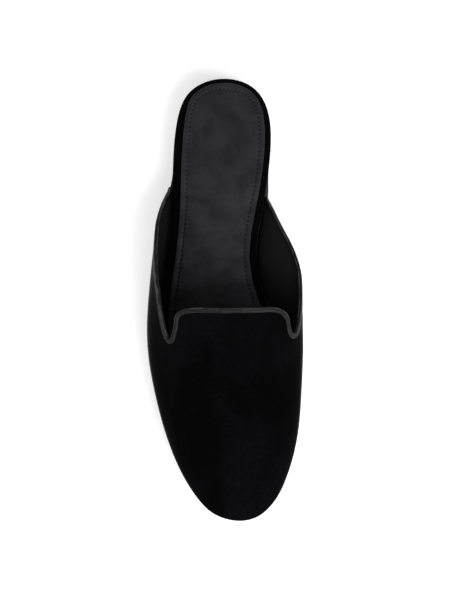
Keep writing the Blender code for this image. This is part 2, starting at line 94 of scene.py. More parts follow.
class Tree:
    """A node tree with short calls for adding and joining nodes."""

    def __init__(self, tree: bpy.types.NodeTree) -> None:
        """Keeps the tree.

        Args:
            tree: the node tree to fill.
        """
        self.tree = tree

    def add(self, kind: str, values: dict | None = None, **settings: object) -> bpy.types.Node:
        """Adds a node.

        Args:
            kind: the node's type name.
            values: socket names or numbers, each with a plain value or an output to join.
            settings: properties of the node itself.

        Returns:
            The new node.
        """
        node = self.tree.nodes.new(kind)
        for name, value in settings.items():
            setattr(node, name, value)
        self.fill(node, values or {})
        return node

    def fill(self, node: bpy.types.Node, values: dict) -> None:
        """Sets or joins several sockets of a node.

        Args:
            node: the node.
            values: socket names or numbers, each with a plain value or an output to join.
        """
        for name, value in values.items():
            self.feed(node.inputs[name], value)

    def feed(self, socket: bpy.types.NodeSocket, value: object) -> None:
        """Sets a socket or joins it to an output.

        Args:
            socket: the input to feed.
            value: a plain value, or another node's output socket.
        """
        if isinstance(value, bpy.types.NodeSocket):
            self.tree.links.new(value, socket)
        else:
            socket.default_value = value

    def blend(self, share: object, first: object, second: object) -> bpy.types.NodeSocket:
        """Mixes two colours.

        Args:
            share: how much of the second colour shows.
            first: the colour at 0.
            second: the colour at 1.

        Returns:
            The mixed colour's socket.
        """
        node = self.add("ShaderNodeMix", data_type="RGBA")
        for socket, value in ((node.inputs[0], share), (node.inputs[6], first), (node.inputs[7], second)):
            if not isinstance(value, (bpy.types.NodeSocket, float)):
                value = (*value, 1.0)
            self.feed(socket, value)
        return node.outputs[2]

    def ramp(
        self, value: object, low: float, high: float, start: float = 0.0, end: float = 1.0
    ) -> bpy.types.NodeSocket:
        """Maps a value smoothly from one range to another.

        Args:
            value: the socket to map.
            low: the value that gives start.
            high: the value that gives end.
            start: the result at low.
            end: the result at high.

        Returns:
            The mapped value's socket.
        """
        node = self.add(
            "ShaderNodeMapRange",
            {"Value": value, "From Min": low, "From Max": high, "To Min": start, "To Max": end},
            interpolation_type="SMOOTHSTEP",
        )
        return node.outputs["Result"]

    def maths(self, operation: str, first: object, second: object) -> bpy.types.NodeSocket:
        """Does one sum.

        Args:
            operation: the sum's name.
            first: the first value or socket.
            second: the second value or socket.

        Returns:
            The result's socket.
        """
        node = self.add("ShaderNodeMath", operation=operation)
        self.fill(node, {0: first, 1: second})
        return node.outputs[0]

    def noise(self, vector: object, scale: object, detail: float, **more: float) -> bpy.types.NodeSocket:
        """Adds a noise texture.

        Args:
            vector: the coordinates' socket.
            scale: the texture's scale, or a socket that gives it.
            detail: how many finer layers it has.
            more: its other inputs, by name.

        Returns:
            The socket of its value.
        """
        values = {"Vector": vector, "Scale": scale, "Detail": detail, **more}
        return self.add("ShaderNodeTexNoise", values).outputs["Fac"]

    def layer(self, name: str) -> bpy.types.NodeSocket:
        """Reads a mask that is stored on the piece.

        Args:
            name: the mask's name.

        Returns:
            The socket of its value.
        """
        return self.add("ShaderNodeAttribute", attribute_name=name).outputs["Fac"]

    def wear(self, vector: object, amount: float) -> bpy.types.NodeSocket:
        """Reads the piece's wear, with the painted highlights that share its mask, broken up.

        Args:
            vector: the coordinates' socket.
            amount: how strong it is.

        Returns:
            The socket of its value.
        """
        values = {"Vector": vector, "Mask": self.layer(WEAR_AND_HIGHLIGHT_LAYER), "Amount": amount}
        return self.add("ShaderNodeGroup", values, node_tree=WEAR_AND_HIGHLIGHT).outputs["Worn"]

    def bump(self, height: object, strength: float, distance: float) -> bpy.types.NodeSocket:
        """Turns a height into a rough surface.

        Args:
            height: the height's socket.
            strength: the bump's strength.
            distance: how high its highest point stands.

        Returns:
            The socket of the bumped normal.
        """
        values = {"Strength": strength, "Distance": distance, "Height": height}
        return self.add("ShaderNodeBump", values).outputs[0]


def new_group(
    name: str, inputs: dict[str, float], outputs: Sequence[str]
) -> tuple[Tree, bpy.types.Node, bpy.types.Node]:
    """Starts a shader node group that has a Vector input.

    Args:
        name: the group's name.
        inputs: its other inputs, with their starting values.
        outputs: the names of its outputs.

    Returns:
        The group's tree, its input node and its output node.
    """
    group = bpy.data.node_groups.new(name, "ShaderNodeTree")
    group.interface.new_socket("Vector", in_out="INPUT", socket_type="NodeSocketVector")
    for label, value in inputs.items():
        socket = group.interface.new_socket(label, in_out="INPUT", socket_type="NodeSocketFloat")
        socket.default_value = value
    for label in outputs:
        group.interface.new_socket(label, in_out="OUTPUT", socket_type="NodeSocketFloat")
    tree = Tree(group)
    return tree, tree.add("NodeGroupInput"), tree.add("NodeGroupOutput")


def grain_group() -> bpy.types.NodeTree:
    """Leather grain: small cells with creases between them, pores and slow mottling.

    Returns:
        A group that gives Height and Mottle.
    """
    inputs = {"Cell Scale": 1100.0, "Crease Share": 0.6, "Mottle Scale": 45.0}
    tree, start, end = new_group("leather_grain", inputs, ("Height", "Mottle"))
    vector, scale = start.outputs["Vector"], start.outputs["Cell Scale"]
    wander = tree.add("ShaderNodeTexNoise", {"Vector": vector, "Scale": 260.0, "Detail": 3.0})
    strayed = tree.add(
        "ShaderNodeVectorMath",
        {0: wander.outputs["Color"], 1: (GRAIN_STRAY, GRAIN_STRAY, GRAIN_STRAY)},
        operation="MULTIPLY",
    )
    moved = tree.add("ShaderNodeVectorMath", {0: vector, 1: strayed.outputs[0]}, operation="ADD").outputs[0]
    cells = tree.add("ShaderNodeTexVoronoi", {"Vector": moved, "Scale": scale}, feature="DISTANCE_TO_EDGE")
    crease = tree.ramp(cells.outputs["Distance"], 0.0, 0.22)
    fine = tree.noise(vector, tree.maths("MULTIPLY", scale, 2.6), 4.0, Roughness=0.65)
    pore_scale = tree.maths("MULTIPLY", scale, 0.55)
    pores = tree.add("ShaderNodeTexVoronoi", {"Vector": moved, "Scale": pore_scale}, feature="F1")
    pore = tree.ramp(pores.outputs["Distance"], 0.06, 0.2)
    share = start.outputs["Crease Share"]
    rough = tree.maths("MULTIPLY", fine, tree.maths("SUBTRACT", 1.0, share))
    height = tree.maths("MULTIPLY", tree.maths("ADD", tree.maths("MULTIPLY", crease, share), rough), pore)
    slow = tree.noise(vector, start.outputs["Mottle Scale"], 4.0, Roughness=0.6)
    tree.fill(end, {"Height": height, "Mottle": tree.ramp(slow, 0.3, 0.7)})
    return tree.tree


def pile_group() -> bpy.types.NodeTree:
    """Velvet pile: fine tufts, and patches where the nap has been brushed another way.

    Returns:
        A group that gives Height and Nap.
    """
    inputs = {"Tuft Scale": 2600.0, "Nap Scale": 28.0}
    tree, start, end = new_group("velvet_pile", inputs, ("Height", "Nap"))
    lay = tree.add("ShaderNodeMapping", {"Vector": start.outputs["Vector"], "Scale": (1.0, 0.4, 1.0)})
    tufts = tree.noise(lay.outputs[0], start.outputs["Tuft Scale"], 3.0, Roughness=0.6)
    slow = tree.noise(lay.outputs[0], start.outputs["Nap Scale"], 3.0, Distortion=0.6)
    tree.fill(end, {"Height": tufts, "Nap": tree.ramp(slow, 0.34, 0.66)})
    return tree.tree


def wear_and_highlight_group() -> bpy.types.NodeTree:
    """Edge wear and painted highlight: the wear mask of a piece, which on the binding holds painted
    highlights along its ridges, broken up so that it is never an even band.

    Returns:
        A group that gives Worn.
    """
    tree, start, end = new_group("edge_wear_and_highlight", {"Mask": 0.0, "Amount": 0.5}, ("Worn",))
    patches = tree.noise(start.outputs["Vector"], 180.0, 5.0)
    broken = tree.maths("MULTIPLY", start.outputs["Mask"], tree.ramp(patches, 0.38, 0.62))
    tree.feed(end.inputs["Worn"], tree.maths("MULTIPLY", broken, start.outputs["Amount"]))
    return tree.tree


GRAIN = grain_group()
PILE = pile_group()
WEAR_AND_HIGHLIGHT = wear_and_highlight_group()


def new_material(name: str) -> tuple[bpy.types.Material, Tree, bpy.types.Node]:
    """Starts a material.

    Args:
        name: the material's name.

    Returns:
        The material, its tree and its Principled shader.
    """
    material = bpy.data.materials.new(name)
    material.use_nodes = True
    tree = Tree(material.node_tree)
    return material, tree, material.node_tree.nodes["Principled BSDF"]


def place_of(tree: Tree) -> bpy.types.NodeSocket:
    """The Object coordinates' socket of a material's tree."""
    return tree.add("ShaderNodeTexCoord").outputs["Object"]


@dataclass(frozen=True)
class Velvet:
    """Short black pile, darkest when looked straight into and paler where it is seen edge on."""

    name: str = "velvet"
    deep: Colour = (0.0003, 0.0003, 0.0004)
    # raised is a painted highlight: the colour of the tuft tips and of the brushed nap patches.
    raised: Colour = (0.0036, 0.0034, 0.0043)
    sheen: float = 0.46
    sheen_roughness: float = 0.19
    sheen_tint: Colour = (0.48, 0.48, 0.51)
    tuft_height: float = 0.12 * MM

    def material(self) -> bpy.types.Material:
        """The velvet's material.

        Returns:
            The new material.
        """
        material, tree, shader = new_material(self.name)
        pile = tree.add("ShaderNodeGroup", {"Vector": place_of(tree)}, node_tree=PILE)
        height, nap = pile.outputs["Height"], pile.outputs["Nap"]
        # Painted highlight lightens the tuft tips and the brushed nap patches.
        tip_and_nap_highlight = tree.maths("MULTIPLY", tree.ramp(height, 0.42, 0.66), tree.ramp(nap, 0.0, 1.0, 0.35, 1.0))
        values = {
            "Base Color": tree.blend(tip_and_nap_highlight, self.deep, self.raised),
            "Roughness": tree.ramp(nap, 0.0, 1.0, 0.98, 0.84),
            "Specular IOR Level": 0.02,
            "Sheen Weight": self.sheen,
            "Sheen Roughness": self.sheen_roughness,
            "Sheen Tint": (*self.sheen_tint, 1.0),
            "Normal": tree.bump(height, 0.75, self.tuft_height),
        }
        tree.fill(shader, values)
        return material


@dataclass(frozen=True)
class Leather:
    """Grained leather with creases and pores darkened by painted shade, slow mottling and worn edges; its
    masks also paint highlights along the binding's ridges and shade into needle holes and the binding's
    groove.
    """

    name: str
    deep: Colour
    raised: Colour
    # The colour where the wear mask shows: real wear on most pieces, and a painted highlight along the
    # binding's ridges.
    worn: Colour
    roughness: float
    specular: float
    cell_scale: float
    grain_height: float
    coat: float = 0.0
    mottle_scale: float = 45.0
    # How bright the creases and pores stay under their painted shade.
    crease_shade: float = 0.55
    wear: float = 0.4
    # The near-black painted shade put into needle holes and the binding's groove.
    painted_pit_shade: Colour = (0.0006, 0.0006, 0.0007)

    def material(self) -> bpy.types.Material:
        """The leather's material.

        Returns:
            The new material.
        """
        material, tree, shader = new_material(self.name)
        vector = place_of(tree)
        scales = {"Vector": vector, "Cell Scale": self.cell_scale, "Mottle Scale": self.mottle_scale}
        grain = tree.add("ShaderNodeGroup", scales, node_tree=GRAIN)
        height, mottle = grain.outputs["Height"], grain.outputs["Mottle"]
        wear = tree.wear(vector, self.wear)
        # Painted shade darkens the creases and pores; the mottling is the leather's own tone.
        mottle_and_crease_shade = tree.maths("MULTIPLY", mottle, tree.ramp(height, 0.0, 0.7, self.crease_shade, 1.0))
        # Where the wear mask shows: real wear, and on the binding a painted highlight along its ridges.
        worn = tree.blend(wear, tree.blend(mottle_and_crease_shade, self.deep, self.raised), self.worn)
        rough = tree.ramp(mottle, 0.0, 1.0, self.roughness + 0.07, self.roughness - 0.05)
        # Needle holes and the binding's groove are filled with painted shade.
        values = {
            "Base Color": tree.blend(tree.ramp(tree.layer(PAINTED_SHADE_LAYER), 0.12, 0.6), worn, self.painted_pit_shade),
            "Roughness": tree.maths("ADD", rough, tree.maths("MULTIPLY", wear, 0.2)),
            "Specular IOR Level": self.specular,
            "Coat Weight": self.coat,
            "Coat Roughness": 0.25,
            "Normal": tree.bump(height, 0.6, self.grain_height),
        }
        tree.fill(shader, values)
        return material


@dataclass(frozen=True)
class Thread:
    """Waxed thread, twisted finely enough to catch a broken highlight."""

    name: str
    deep: Colour
    raised: Colour
    twist_scale: float = 2400.0

    def material(self) -> bpy.types.Material:
        """The thread's material.

        Returns:
            The new material.
        """
        material, tree, shader = new_material(self.name)
        fibres = tree.noise(place_of(tree), self.twist_scale, 2.0)
        values = {
            "Base Color": tree.blend(tree.ramp(fibres, 0.35, 0.65), self.deep, self.raised),
            "Roughness": tree.ramp(fibres, 0.3, 0.7, 0.5, 0.75),
            "Normal": tree.bump(fibres, 0.5, 0.05 * MM),
        }
        tree.fill(shader, values)
        return material


@dataclass(frozen=True)
class Rubber:
    """Moulded rubber with a fine pebble and scuffs where it meets the floor."""

    name: str = "lift_rubber"
    deep: Colour = (0.0045, 0.0045, 0.0045)
    raised: Colour = (0.0095, 0.0093, 0.0090)
    worn: Colour = (0.0240, 0.0230, 0.0215)
    wear: float = 0.7

    def material(self) -> bpy.types.Material:
        """The rubber's material.

        Returns:
            The new material.
        """
        material, tree, shader = new_material(self.name)
        vector = place_of(tree)
        pebble = tree.noise(vector, 900.0, 4.0, Roughness=0.7)
        tone = tree.blend(tree.ramp(pebble, 0.35, 0.65), self.deep, self.raised)
        values = {
            "Base Color": tree.blend(tree.wear(vector, self.wear), tone, self.worn),
            "Roughness": tree.ramp(pebble, 0.3, 0.7, 0.7, 0.88),
            "Normal": tree.bump(pebble, 0.5, 0.06 * MM),
        }
        tree.fill(shader, values)
        return material


@dataclass(frozen=True)
class Brass:
    """Small brass pins, dulled by handling."""

    name: str = "pin_brass"
    clean: Colour = (0.45, 0.31, 0.13)
    dull: Colour = (0.16, 0.10, 0.05)

    def material(self) -> bpy.types.Material:
        """The brass's material.

        Returns:
            The new material.
        """
        material, tree, shader = new_material(self.name)
        tarnish = tree.noise(place_of(tree), 700.0, 4.0)
        values = {
            "Base Color": tree.blend(tree.ramp(tarnish, 0.35, 0.65), self.clean, self.dull),
            "Roughness": tree.ramp(tarnish, 0.3, 0.7, 0.28, 0.55),
            "Metallic": 1.0,
        }
        tree.fill(shader, values)
        return material


# Objects and edit mode


def only(thing: Mesh) -> None:
    """Makes one object the selected and active one.

    Args:
        thing: the object to work on.
    """
    bpy.ops.object.select_all(action="DESELECT")
    thing.select_set(True)
    bpy.context.view_layer.objects.active = thing


def edit(thing: Mesh, mode: str = "VERT") -> None:
    """Enters edit mode on one object with nothing selected.

    Args:
        thing: the object to edit.
        mode: VERT, EDGE or FACE.
    """
    only(thing)
    bpy.ops.object.mode_set(mode="EDIT")
    bpy.ops.mesh.select_mode(type=mode)
    bpy.ops.mesh.select_all(action="DESELECT")


def done() -> None:
    """Leaves edit mode."""
    bpy.ops.object.mode_set(mode="OBJECT")


def from_node(node: str, name: str) -> Mesh:
    """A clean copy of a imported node, merged and with its pairs of triangles made quads.

    Args:
        node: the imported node's name.
        name: the new piece's name.

    Returns:
        The new piece.
    """
    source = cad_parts[node]
    thing = source.copy()
    thing.data = source.data.copy()
    thing.name = thing.data.name = name
    bpy.context.scene.collection.objects.link(thing)
    thing.data.materials.clear()
    edit(thing)
    bpy.ops.mesh.select_all(action="SELECT")
    bpy.ops.mesh.remove_doubles(threshold=0.01 * MM)
    bpy.ops.mesh.customdata_custom_splitnormals_clear()
    bpy.ops.mesh.tris_convert_to_quads(face_threshold=math.radians(40), shape_threshold=math.radians(60))
    done()
    return thing


def from_data(name: str, points: np.ndarray, faces: Sequence[Sequence[int]]) -> Mesh:
    """A new piece from points and faces.

    Args:
        name: the piece's name.
        points: one row for each vertex.
        faces: vertex numbers of each face.

    Returns:
        The new piece.
    """
    data = bpy.data.meshes.new(name)
    data.from_pydata([tuple(map(float, p)) for p in points], [], [tuple(f) for f in faces])
    thing = bpy.data.objects.new(name, data)
    bpy.context.scene.collection.objects.link(thing)
    return thing


def crease_sharp(thing: Mesh, degrees: float, amount: float) -> None:
    """Creases the edges that turn by more than an angle, so that subdividing keeps them.

    Args:
        thing: the piece.
        degrees: the least turn.
        amount: the crease, from 0 to 1.
    """
    edit(thing, "EDGE")
    bpy.ops.mesh.edges_select_sharp(sharpness=math.radians(degrees))
    bpy.ops.transform.edge_crease(value=amount)
    done()


def smoothed(thing: Mesh, levels: int) -> None:
    """Applies a subdivision surface.

    Args:
        thing: the piece.
        levels: how many times each face is divided.
    """
    only(thing)
    modifier = thing.modifiers.new("round", "SUBSURF")
    modifier.levels = modifier.render_levels = levels
    bpy.ops.object.modifier_apply(modifier=modifier.name)


def shade(thing: Mesh, degrees: float) -> None:
    """Shades a piece smooth, but for edges sharper than an angle.

    Args:
        thing: the piece.
        degrees: the least turn of an edge that stays sharp.
    """
    only(thing)
    bpy.ops.object.shade_smooth_by_angle(angle=math.radians(degrees))


def rows_of(items: bpy.types.bpy_prop_collection, field_name: str) -> np.ndarray:
    """Reads a triple of numbers from each vertex or face.

    Args:
        items: the vertices or the faces of a mesh.
        field_name: the field to read.

    Returns:
        One row for each vertex or face.
    """
    found = np.empty(len(items) * 3)
    items.foreach_get(field_name, found)
    return found.reshape(-1, 3)


def points_of(thing: Mesh) -> np.ndarray:
    """The vertices of a piece as rows of an array."""
    return rows_of(thing.data.vertices, "co")


def move_points(thing: Mesh, points: np.ndarray) -> None:
    """Writes the vertices of a piece.

    Args:
        thing: the piece.
        points: one row for each vertex.
    """
    thing.data.vertices.foreach_set("co", np.ascontiguousarray(points, dtype=float).ravel())
    thing.data.update()


def tree_of(thing: Mesh) -> BVHTree:
    """A search tree over the faces of a piece."""
    return BVHTree.FromPolygons(
        [v.co[:] for v in thing.data.vertices],
        [p.vertices[:] for p in thing.data.polygons],
    )


def set_layer(thing: Mesh, name: str, mask: np.ndarray) -> None:
    """Stores a mask on the vertices of a piece, for its material to read.

    Args:
        thing: the piece.
        name: the layer's name.
        mask: one value from 0 to 1 for each vertex.
    """
    layer = thing.data.attributes.new(name, "FLOAT", "POINT")
    layer.data.foreach_set("value", np.clip(mask, 0, 1).astype(float))


def taken() -> tuple[np.ndarray, Faces]:
    """Takes the active object apart and removes it.

    Returns:
        Its points and faces.
    """
    thing = bpy.context.object
    points = points_of(thing)
    faces = [tuple(p.vertices) for p in thing.data.polygons]
    bpy.data.objects.remove(thing)
    return points, faces


def ring_faces(rings: int, count: int) -> Faces:
    """The faces that join closed rings of points, each to the next.

    Args:
        rings: how many rings there are.
        count: how many points each has.

    Returns:
        The faces, with the points numbered ring by ring.
    """
    faces = []
    for near in range(0, (rings - 1) * count, count):
        far = near + count
        for i in range(count):
            j = (i + 1) % count
            faces.append((near + i, near + j, far + j, far + i))
    return faces


def bell(distance: np.ndarray, width: float) -> np.ndarray:
    """A soft bump: 1 at no distance, about a third at its width, and nearly 0 at twice that."""
    return np.exp(-((distance / width) ** 2))


def signed_area(outline: np.ndarray) -> float:
    """Area inside a closed plan outline, below 0 where it runs clockwise."""
    onward = np.roll(outline, -1, axis=0)
    return float(np.sum(outline[:, 0] * onward[:, 1] - onward[:, 0] * outline[:, 1]) / 2)


def finish_piece(thing: Mesh, replaces: Sequence[str] = ()) -> None:
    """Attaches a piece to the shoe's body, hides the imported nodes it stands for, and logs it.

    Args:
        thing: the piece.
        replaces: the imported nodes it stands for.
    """
    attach(thing, Body.SHOE.value)
    if replaces:
        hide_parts(*replaces)
    triangles = sum(len(p.vertices) - 2 for p in thing.data.polygons)
    LOG.info("%s: %d triangles", thing.name, triangles)


# Lines


def closed_smooth(points: np.ndarray, rounds: int = 3) -> np.ndarray:
    """Evens out a closed run of points without shrinking it much.

    Args:
        points: one row for each point.
        rounds: how often each point moves towards its neighbours and back.

    Returns:
        The evened points.
    """
    for _ in range(rounds):
        for step in (0.5, -0.53):
            middle = (np.roll(points, 1, 0) + np.roll(points, -1, 0)) / 2
            points = points + (middle - points) * step
    return points


def resampled(points: np.ndarray, spacing: float, closed: bool = False) -> np.ndarray:
    """Points at even steps along a line.

    Args:
        points: one row for each point of the line: its coordinates, then anything else that goes with it.
        spacing: the wanted step.
        closed: whether the line joins up.

    Returns:
        The evenly spaced points.
    """
    if closed:
        points = np.vstack([points, points[:1]])
    steps = np.linalg.norm(np.diff(points[:, :3], axis=0), axis=1)
    along = np.concatenate([[0.0], np.cumsum(steps)])
    count = max(2, round(along[-1] / spacing))
    wanted = np.linspace(0, along[-1], count + 1)
    if closed:
        wanted = wanted[:-1]
    return np.column_stack([np.interp(wanted, along, points[:, k]) for k in range(points.shape[1])])


def unit(vectors: np.ndarray) -> np.ndarray:
    """Rows scaled to length 1."""
    return vectors / np.maximum(np.linalg.norm(vectors, axis=-1, keepdims=True), 1e-12)


def outline_inset(points: np.ndarray, distance: float) -> np.ndarray:
    """A closed plan outline moved inwards.

    Args:
        points: one row for each point, with x and y first.
        distance: how far to move.

    Returns:
        The moved plan points, with x and y alone.
    """
    along = np.roll(points[:, :2], -1, 0) - np.roll(points[:, :2], 1, 0)
    left = unit(np.stack([-along[:, 1], along[:, 0]], -1))
    return points[:, :2] + left * distance * np.sign(signed_area(points))


def distance_to(points: np.ndarray, line: np.ndarray) -> np.ndarray:
    """Distance in plan from each point to the nearest of a dense line's points.

    Args:
        points: plan points, one a row.
        line: plan points of the line, one a row.

    Returns:
        One distance for each point.
    """
    search = KDTree(len(line))
    for i, (x, y) in enumerate(line[:, :2]):
        search.insert((x, y, 0.0), i)
    search.balance()
    return np.array([search.find((x, y, 0.0))[2] for x, y in points[:, :2]])


def longest_run(pairs: Iterable[tuple[int, int]]) -> list[int]:
    """The longest run that can be walked over pairs of neighbours.

    Args:
        pairs: the numbers of the two points of each edge.

    Returns:
        The numbers of the run's points in order.
    """
    steps: dict[int, list[int]] = {}
    for a, b in pairs:
        steps.setdefault(a, []).append(b)
        steps.setdefault(b, []).append(a)
    best: list[int] = []
    left = set(steps)
    while left:
        run = [min(left)]
        left.discard(run[0])
        while True:
            onward = [n for n in steps[run[-1]] if n in left]
            if not onward:
                break
            run.append(onward[0])
            left.discard(onward[0])
        if len(run) > len(best):
            best = run
    return best


def rim_loop(thing: Mesh, degrees: float) -> np.ndarray:
    """The longest run of sharp edges of a piece.

    Args:
        thing: the piece.
        degrees: the least turn of an edge in the run.

    Returns:
        The run's points in order.
    """
    mesh = bmesh.new()
    mesh.from_mesh(thing.data)
    turn = math.radians(degrees)
    sharp = [e for e in mesh.edges if len(e.link_faces) == 2 and e.calc_face_angle() > turn]
    run = longest_run([(e.verts[0].index, e.verts[1].index) for e in sharp])
    mesh.free()
    return points_of(thing)[run]


# Stitches


@dataclass
class Stitching:
    """A run of thread stitches that lie on a surface, with a needle hole of painted shade between each two.

    end_fullness is how much thicker than a ball a stitch may be near its ends, and end_dive is how
    far the ends sink, as a share of the width.
    """

    name: str
    length: float
    gap: float
    width: float
    proud: float = 0.12 * MM
    hole_width: float = 0.86 * MM
    hole_length: float = 0.90 * MM
    hole_depth: float = 0.10 * MM
    pricked: bool = True
    end_fullness: float = 2.2
    end_dive: float = 0.75

    def pitch(self) -> float:
        """The distance from one stitch to the next."""
        return self.length + self.gap

    def thread(self) -> tuple[np.ndarray, Faces]:
        """One stitch, along X, arched so that its ends dive into the needle holes.

        Returns:
            The stitch's points and faces.
        """
        bpy.ops.object.select_all(action="DESELECT")
        on_side = (0, math.pi / 2, 0)
        bpy.ops.mesh.primitive_uv_sphere_add(segments=8, ring_count=7, radius=0.5, rotation=on_side)
        bpy.ops.object.transform_apply(rotation=True)
        shape, faces = taken()
        reach = np.abs(shape[:, 0]) * 2
        ball = np.maximum(np.sqrt(np.clip(1 - reach**2, 0, 1)), 1e-6)
        full = np.sqrt(np.clip(1 - reach**6, 0, 1)) / ball
        full = np.where(reach > 0.999, 1, np.minimum(full, self.end_fullness))
        twist = shape * (self.length, self.width, self.width)
        twist[:, 1:] *= full[:, None]
        twist[:, 2] += self.proud - self.width / 2 - self.end_dive * self.width * reach**4
        return twist, faces

    def hole(self) -> tuple[np.ndarray, Faces]:
        """One needle hole: a small dimple, flush with the surface, darkened with painted shade.

        Returns:
            The hole's points and faces.
        """
        bpy.ops.object.select_all(action="DESELECT")
        bpy.ops.mesh.primitive_uv_sphere_add(segments=10, ring_count=4, radius=0.5)
        shape, faces = taken()
        return shape * (self.hole_length, self.hole_width, self.hole_depth), faces

    def build(
        self,
        path: np.ndarray,
        normals: np.ndarray,
        thread: bpy.types.Material,
        hole: bpy.types.Material,
        slot: Slot,
        closed: bool = False,
    ) -> Mesh:
        """Lays the stitches along a path that is already spaced at the pitch.

        Args:
            path: one row for each stitch's middle.
            normals: the surface's normal at each stitch.
            thread: the thread's material.
            hole: the needle holes' material, a near-black painted shade.
            slot: not used.
            closed: whether the run joins up.

        Returns:
            The finished run.
        """
        if closed:
            along = unit(np.roll(path, -1, 0) - np.roll(path, 1, 0))
        else:
            along = unit(np.gradient(path, axis=0))
        across = unit(np.cross(normals, along))
        upward = np.cross(along, across)
        points, faces, holes = [], [], []
        offset = 0
        middle = (path[1:] + path[:-1]) / 2
        laid = [(self.thread(), path, along, across, upward, False)]
        if self.pricked:
            laid.append((self.hole(), middle, along[:-1], across[:-1], upward[:-1], True))
        for (shape, shape_faces), places, a, b, c, dark in laid:
            for k, place in enumerate(places):
                points.append(place + shape[:, :1] * a[k] + shape[:, 1:2] * b[k] + shape[:, 2:] * c[k])
                faces.extend([tuple(i + offset for i in face) for face in shape_faces])
                holes.extend([dark] * len(shape_faces))
                offset += len(shape)
        run = from_data(self.name, np.vstack(points), faces)
        run.data.materials.append(thread)
        # The needle holes take the near-black finish: painted shade in the holes.
        if self.pricked:
            run.data.materials.append(hole)
            run.data.polygons.foreach_set("material_index", [int(h) for h in holes])
        shade(run, 80)
        finish_piece(run)
        return run


# The pieces


@dataclass
class Upper:
    """The velvet vamp and quarters with their leather lining, in one closed wall."""

    core_side: float = 6 * MM
    core_start: float = 30 * MM
    core_low: float = 14 * MM
    core_rise: float = 22 * MM
    toe_middle: tuple[float, float] = (8 * MM, -85 * MM)
    pleats_start: float = -70 * MM
    pleats_fade: float = 50 * MM
    pleat_reach: float = 14 * MM
    pleat_height: float = 0.16 * MM
    finishes: dict[str, bpy.types.Material] = field(default_factory=dict)

    def build(self) -> Mesh:
        """Makes the wall smooth and gives it velvet outside and leather inside.

        Returns:
            The finished piece.
        """
        wall = from_node("upper", "velvet_upper")
        crease_sharp(wall, 55, 1.0)
        smoothed(wall, 2)
        self.ease(wall)
        wall.data.materials.append(self.finishes["velvet"])
        wall.data.materials.append(self.finishes["lining"])
        wall.data.polygons.foreach_set("material_index", self.inside(wall).astype(int))
        shade(wall, 50)
        finish_piece(wall, ["upper"])
        return wall

    def inside(self, wall: Mesh) -> np.ndarray:
        """Which faces look into the shoe, towards a line through the middle of its hollow.

        Args:
            wall: the upper.

        Returns:
            One truth value for each face.
        """
        middles = rows_of(wall.data.polygons, "center")
        normals = rows_of(wall.data.polygons, "normal")
        low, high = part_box("upper")
        back = np.clip((middles[:, 1] - low[1]) / (high[1] - low[1]), 0, 1)
        core = np.empty_like(middles)
        core[:, 0] = self.core_side
        core[:, 1] = np.clip(middles[:, 1], low[1] + self.core_start, high[1])
        core[:, 2] = low[2] + self.core_low + self.core_rise * back
        return ((middles - core) * normals).sum(1) < 0

    def ease(self, wall: Mesh) -> None:
        """Presses faint lasting pleats into the velvet round the toe, just above the sole.

        Args:
            wall: the upper.
        """
        points = points_of(wall)
        normals = rows_of(wall.data.vertices, "normal")
        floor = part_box("upper")[0][2]
        side, ahead = self.toe_middle
        around = np.arctan2(points[:, 0] - side, ahead - points[:, 1])
        toe = np.clip((self.pleats_start - points[:, 1]) / self.pleats_fade, 0, 1)
        above = (points[:, 2] - floor) / self.pleat_reach
        fade = np.clip(1 - above, 0, 1) ** 1.5 * toe
        wave = np.sin(around * 31 + 1.7 * np.sin(around * 5)) * 0.6 + np.sin(around * 47 + 0.8) * 0.4
        outer = normals[:, 2] > -0.6
        push = self.pleat_height * wave * fade * outer
        move_points(wall, points + normals * push[:, None])


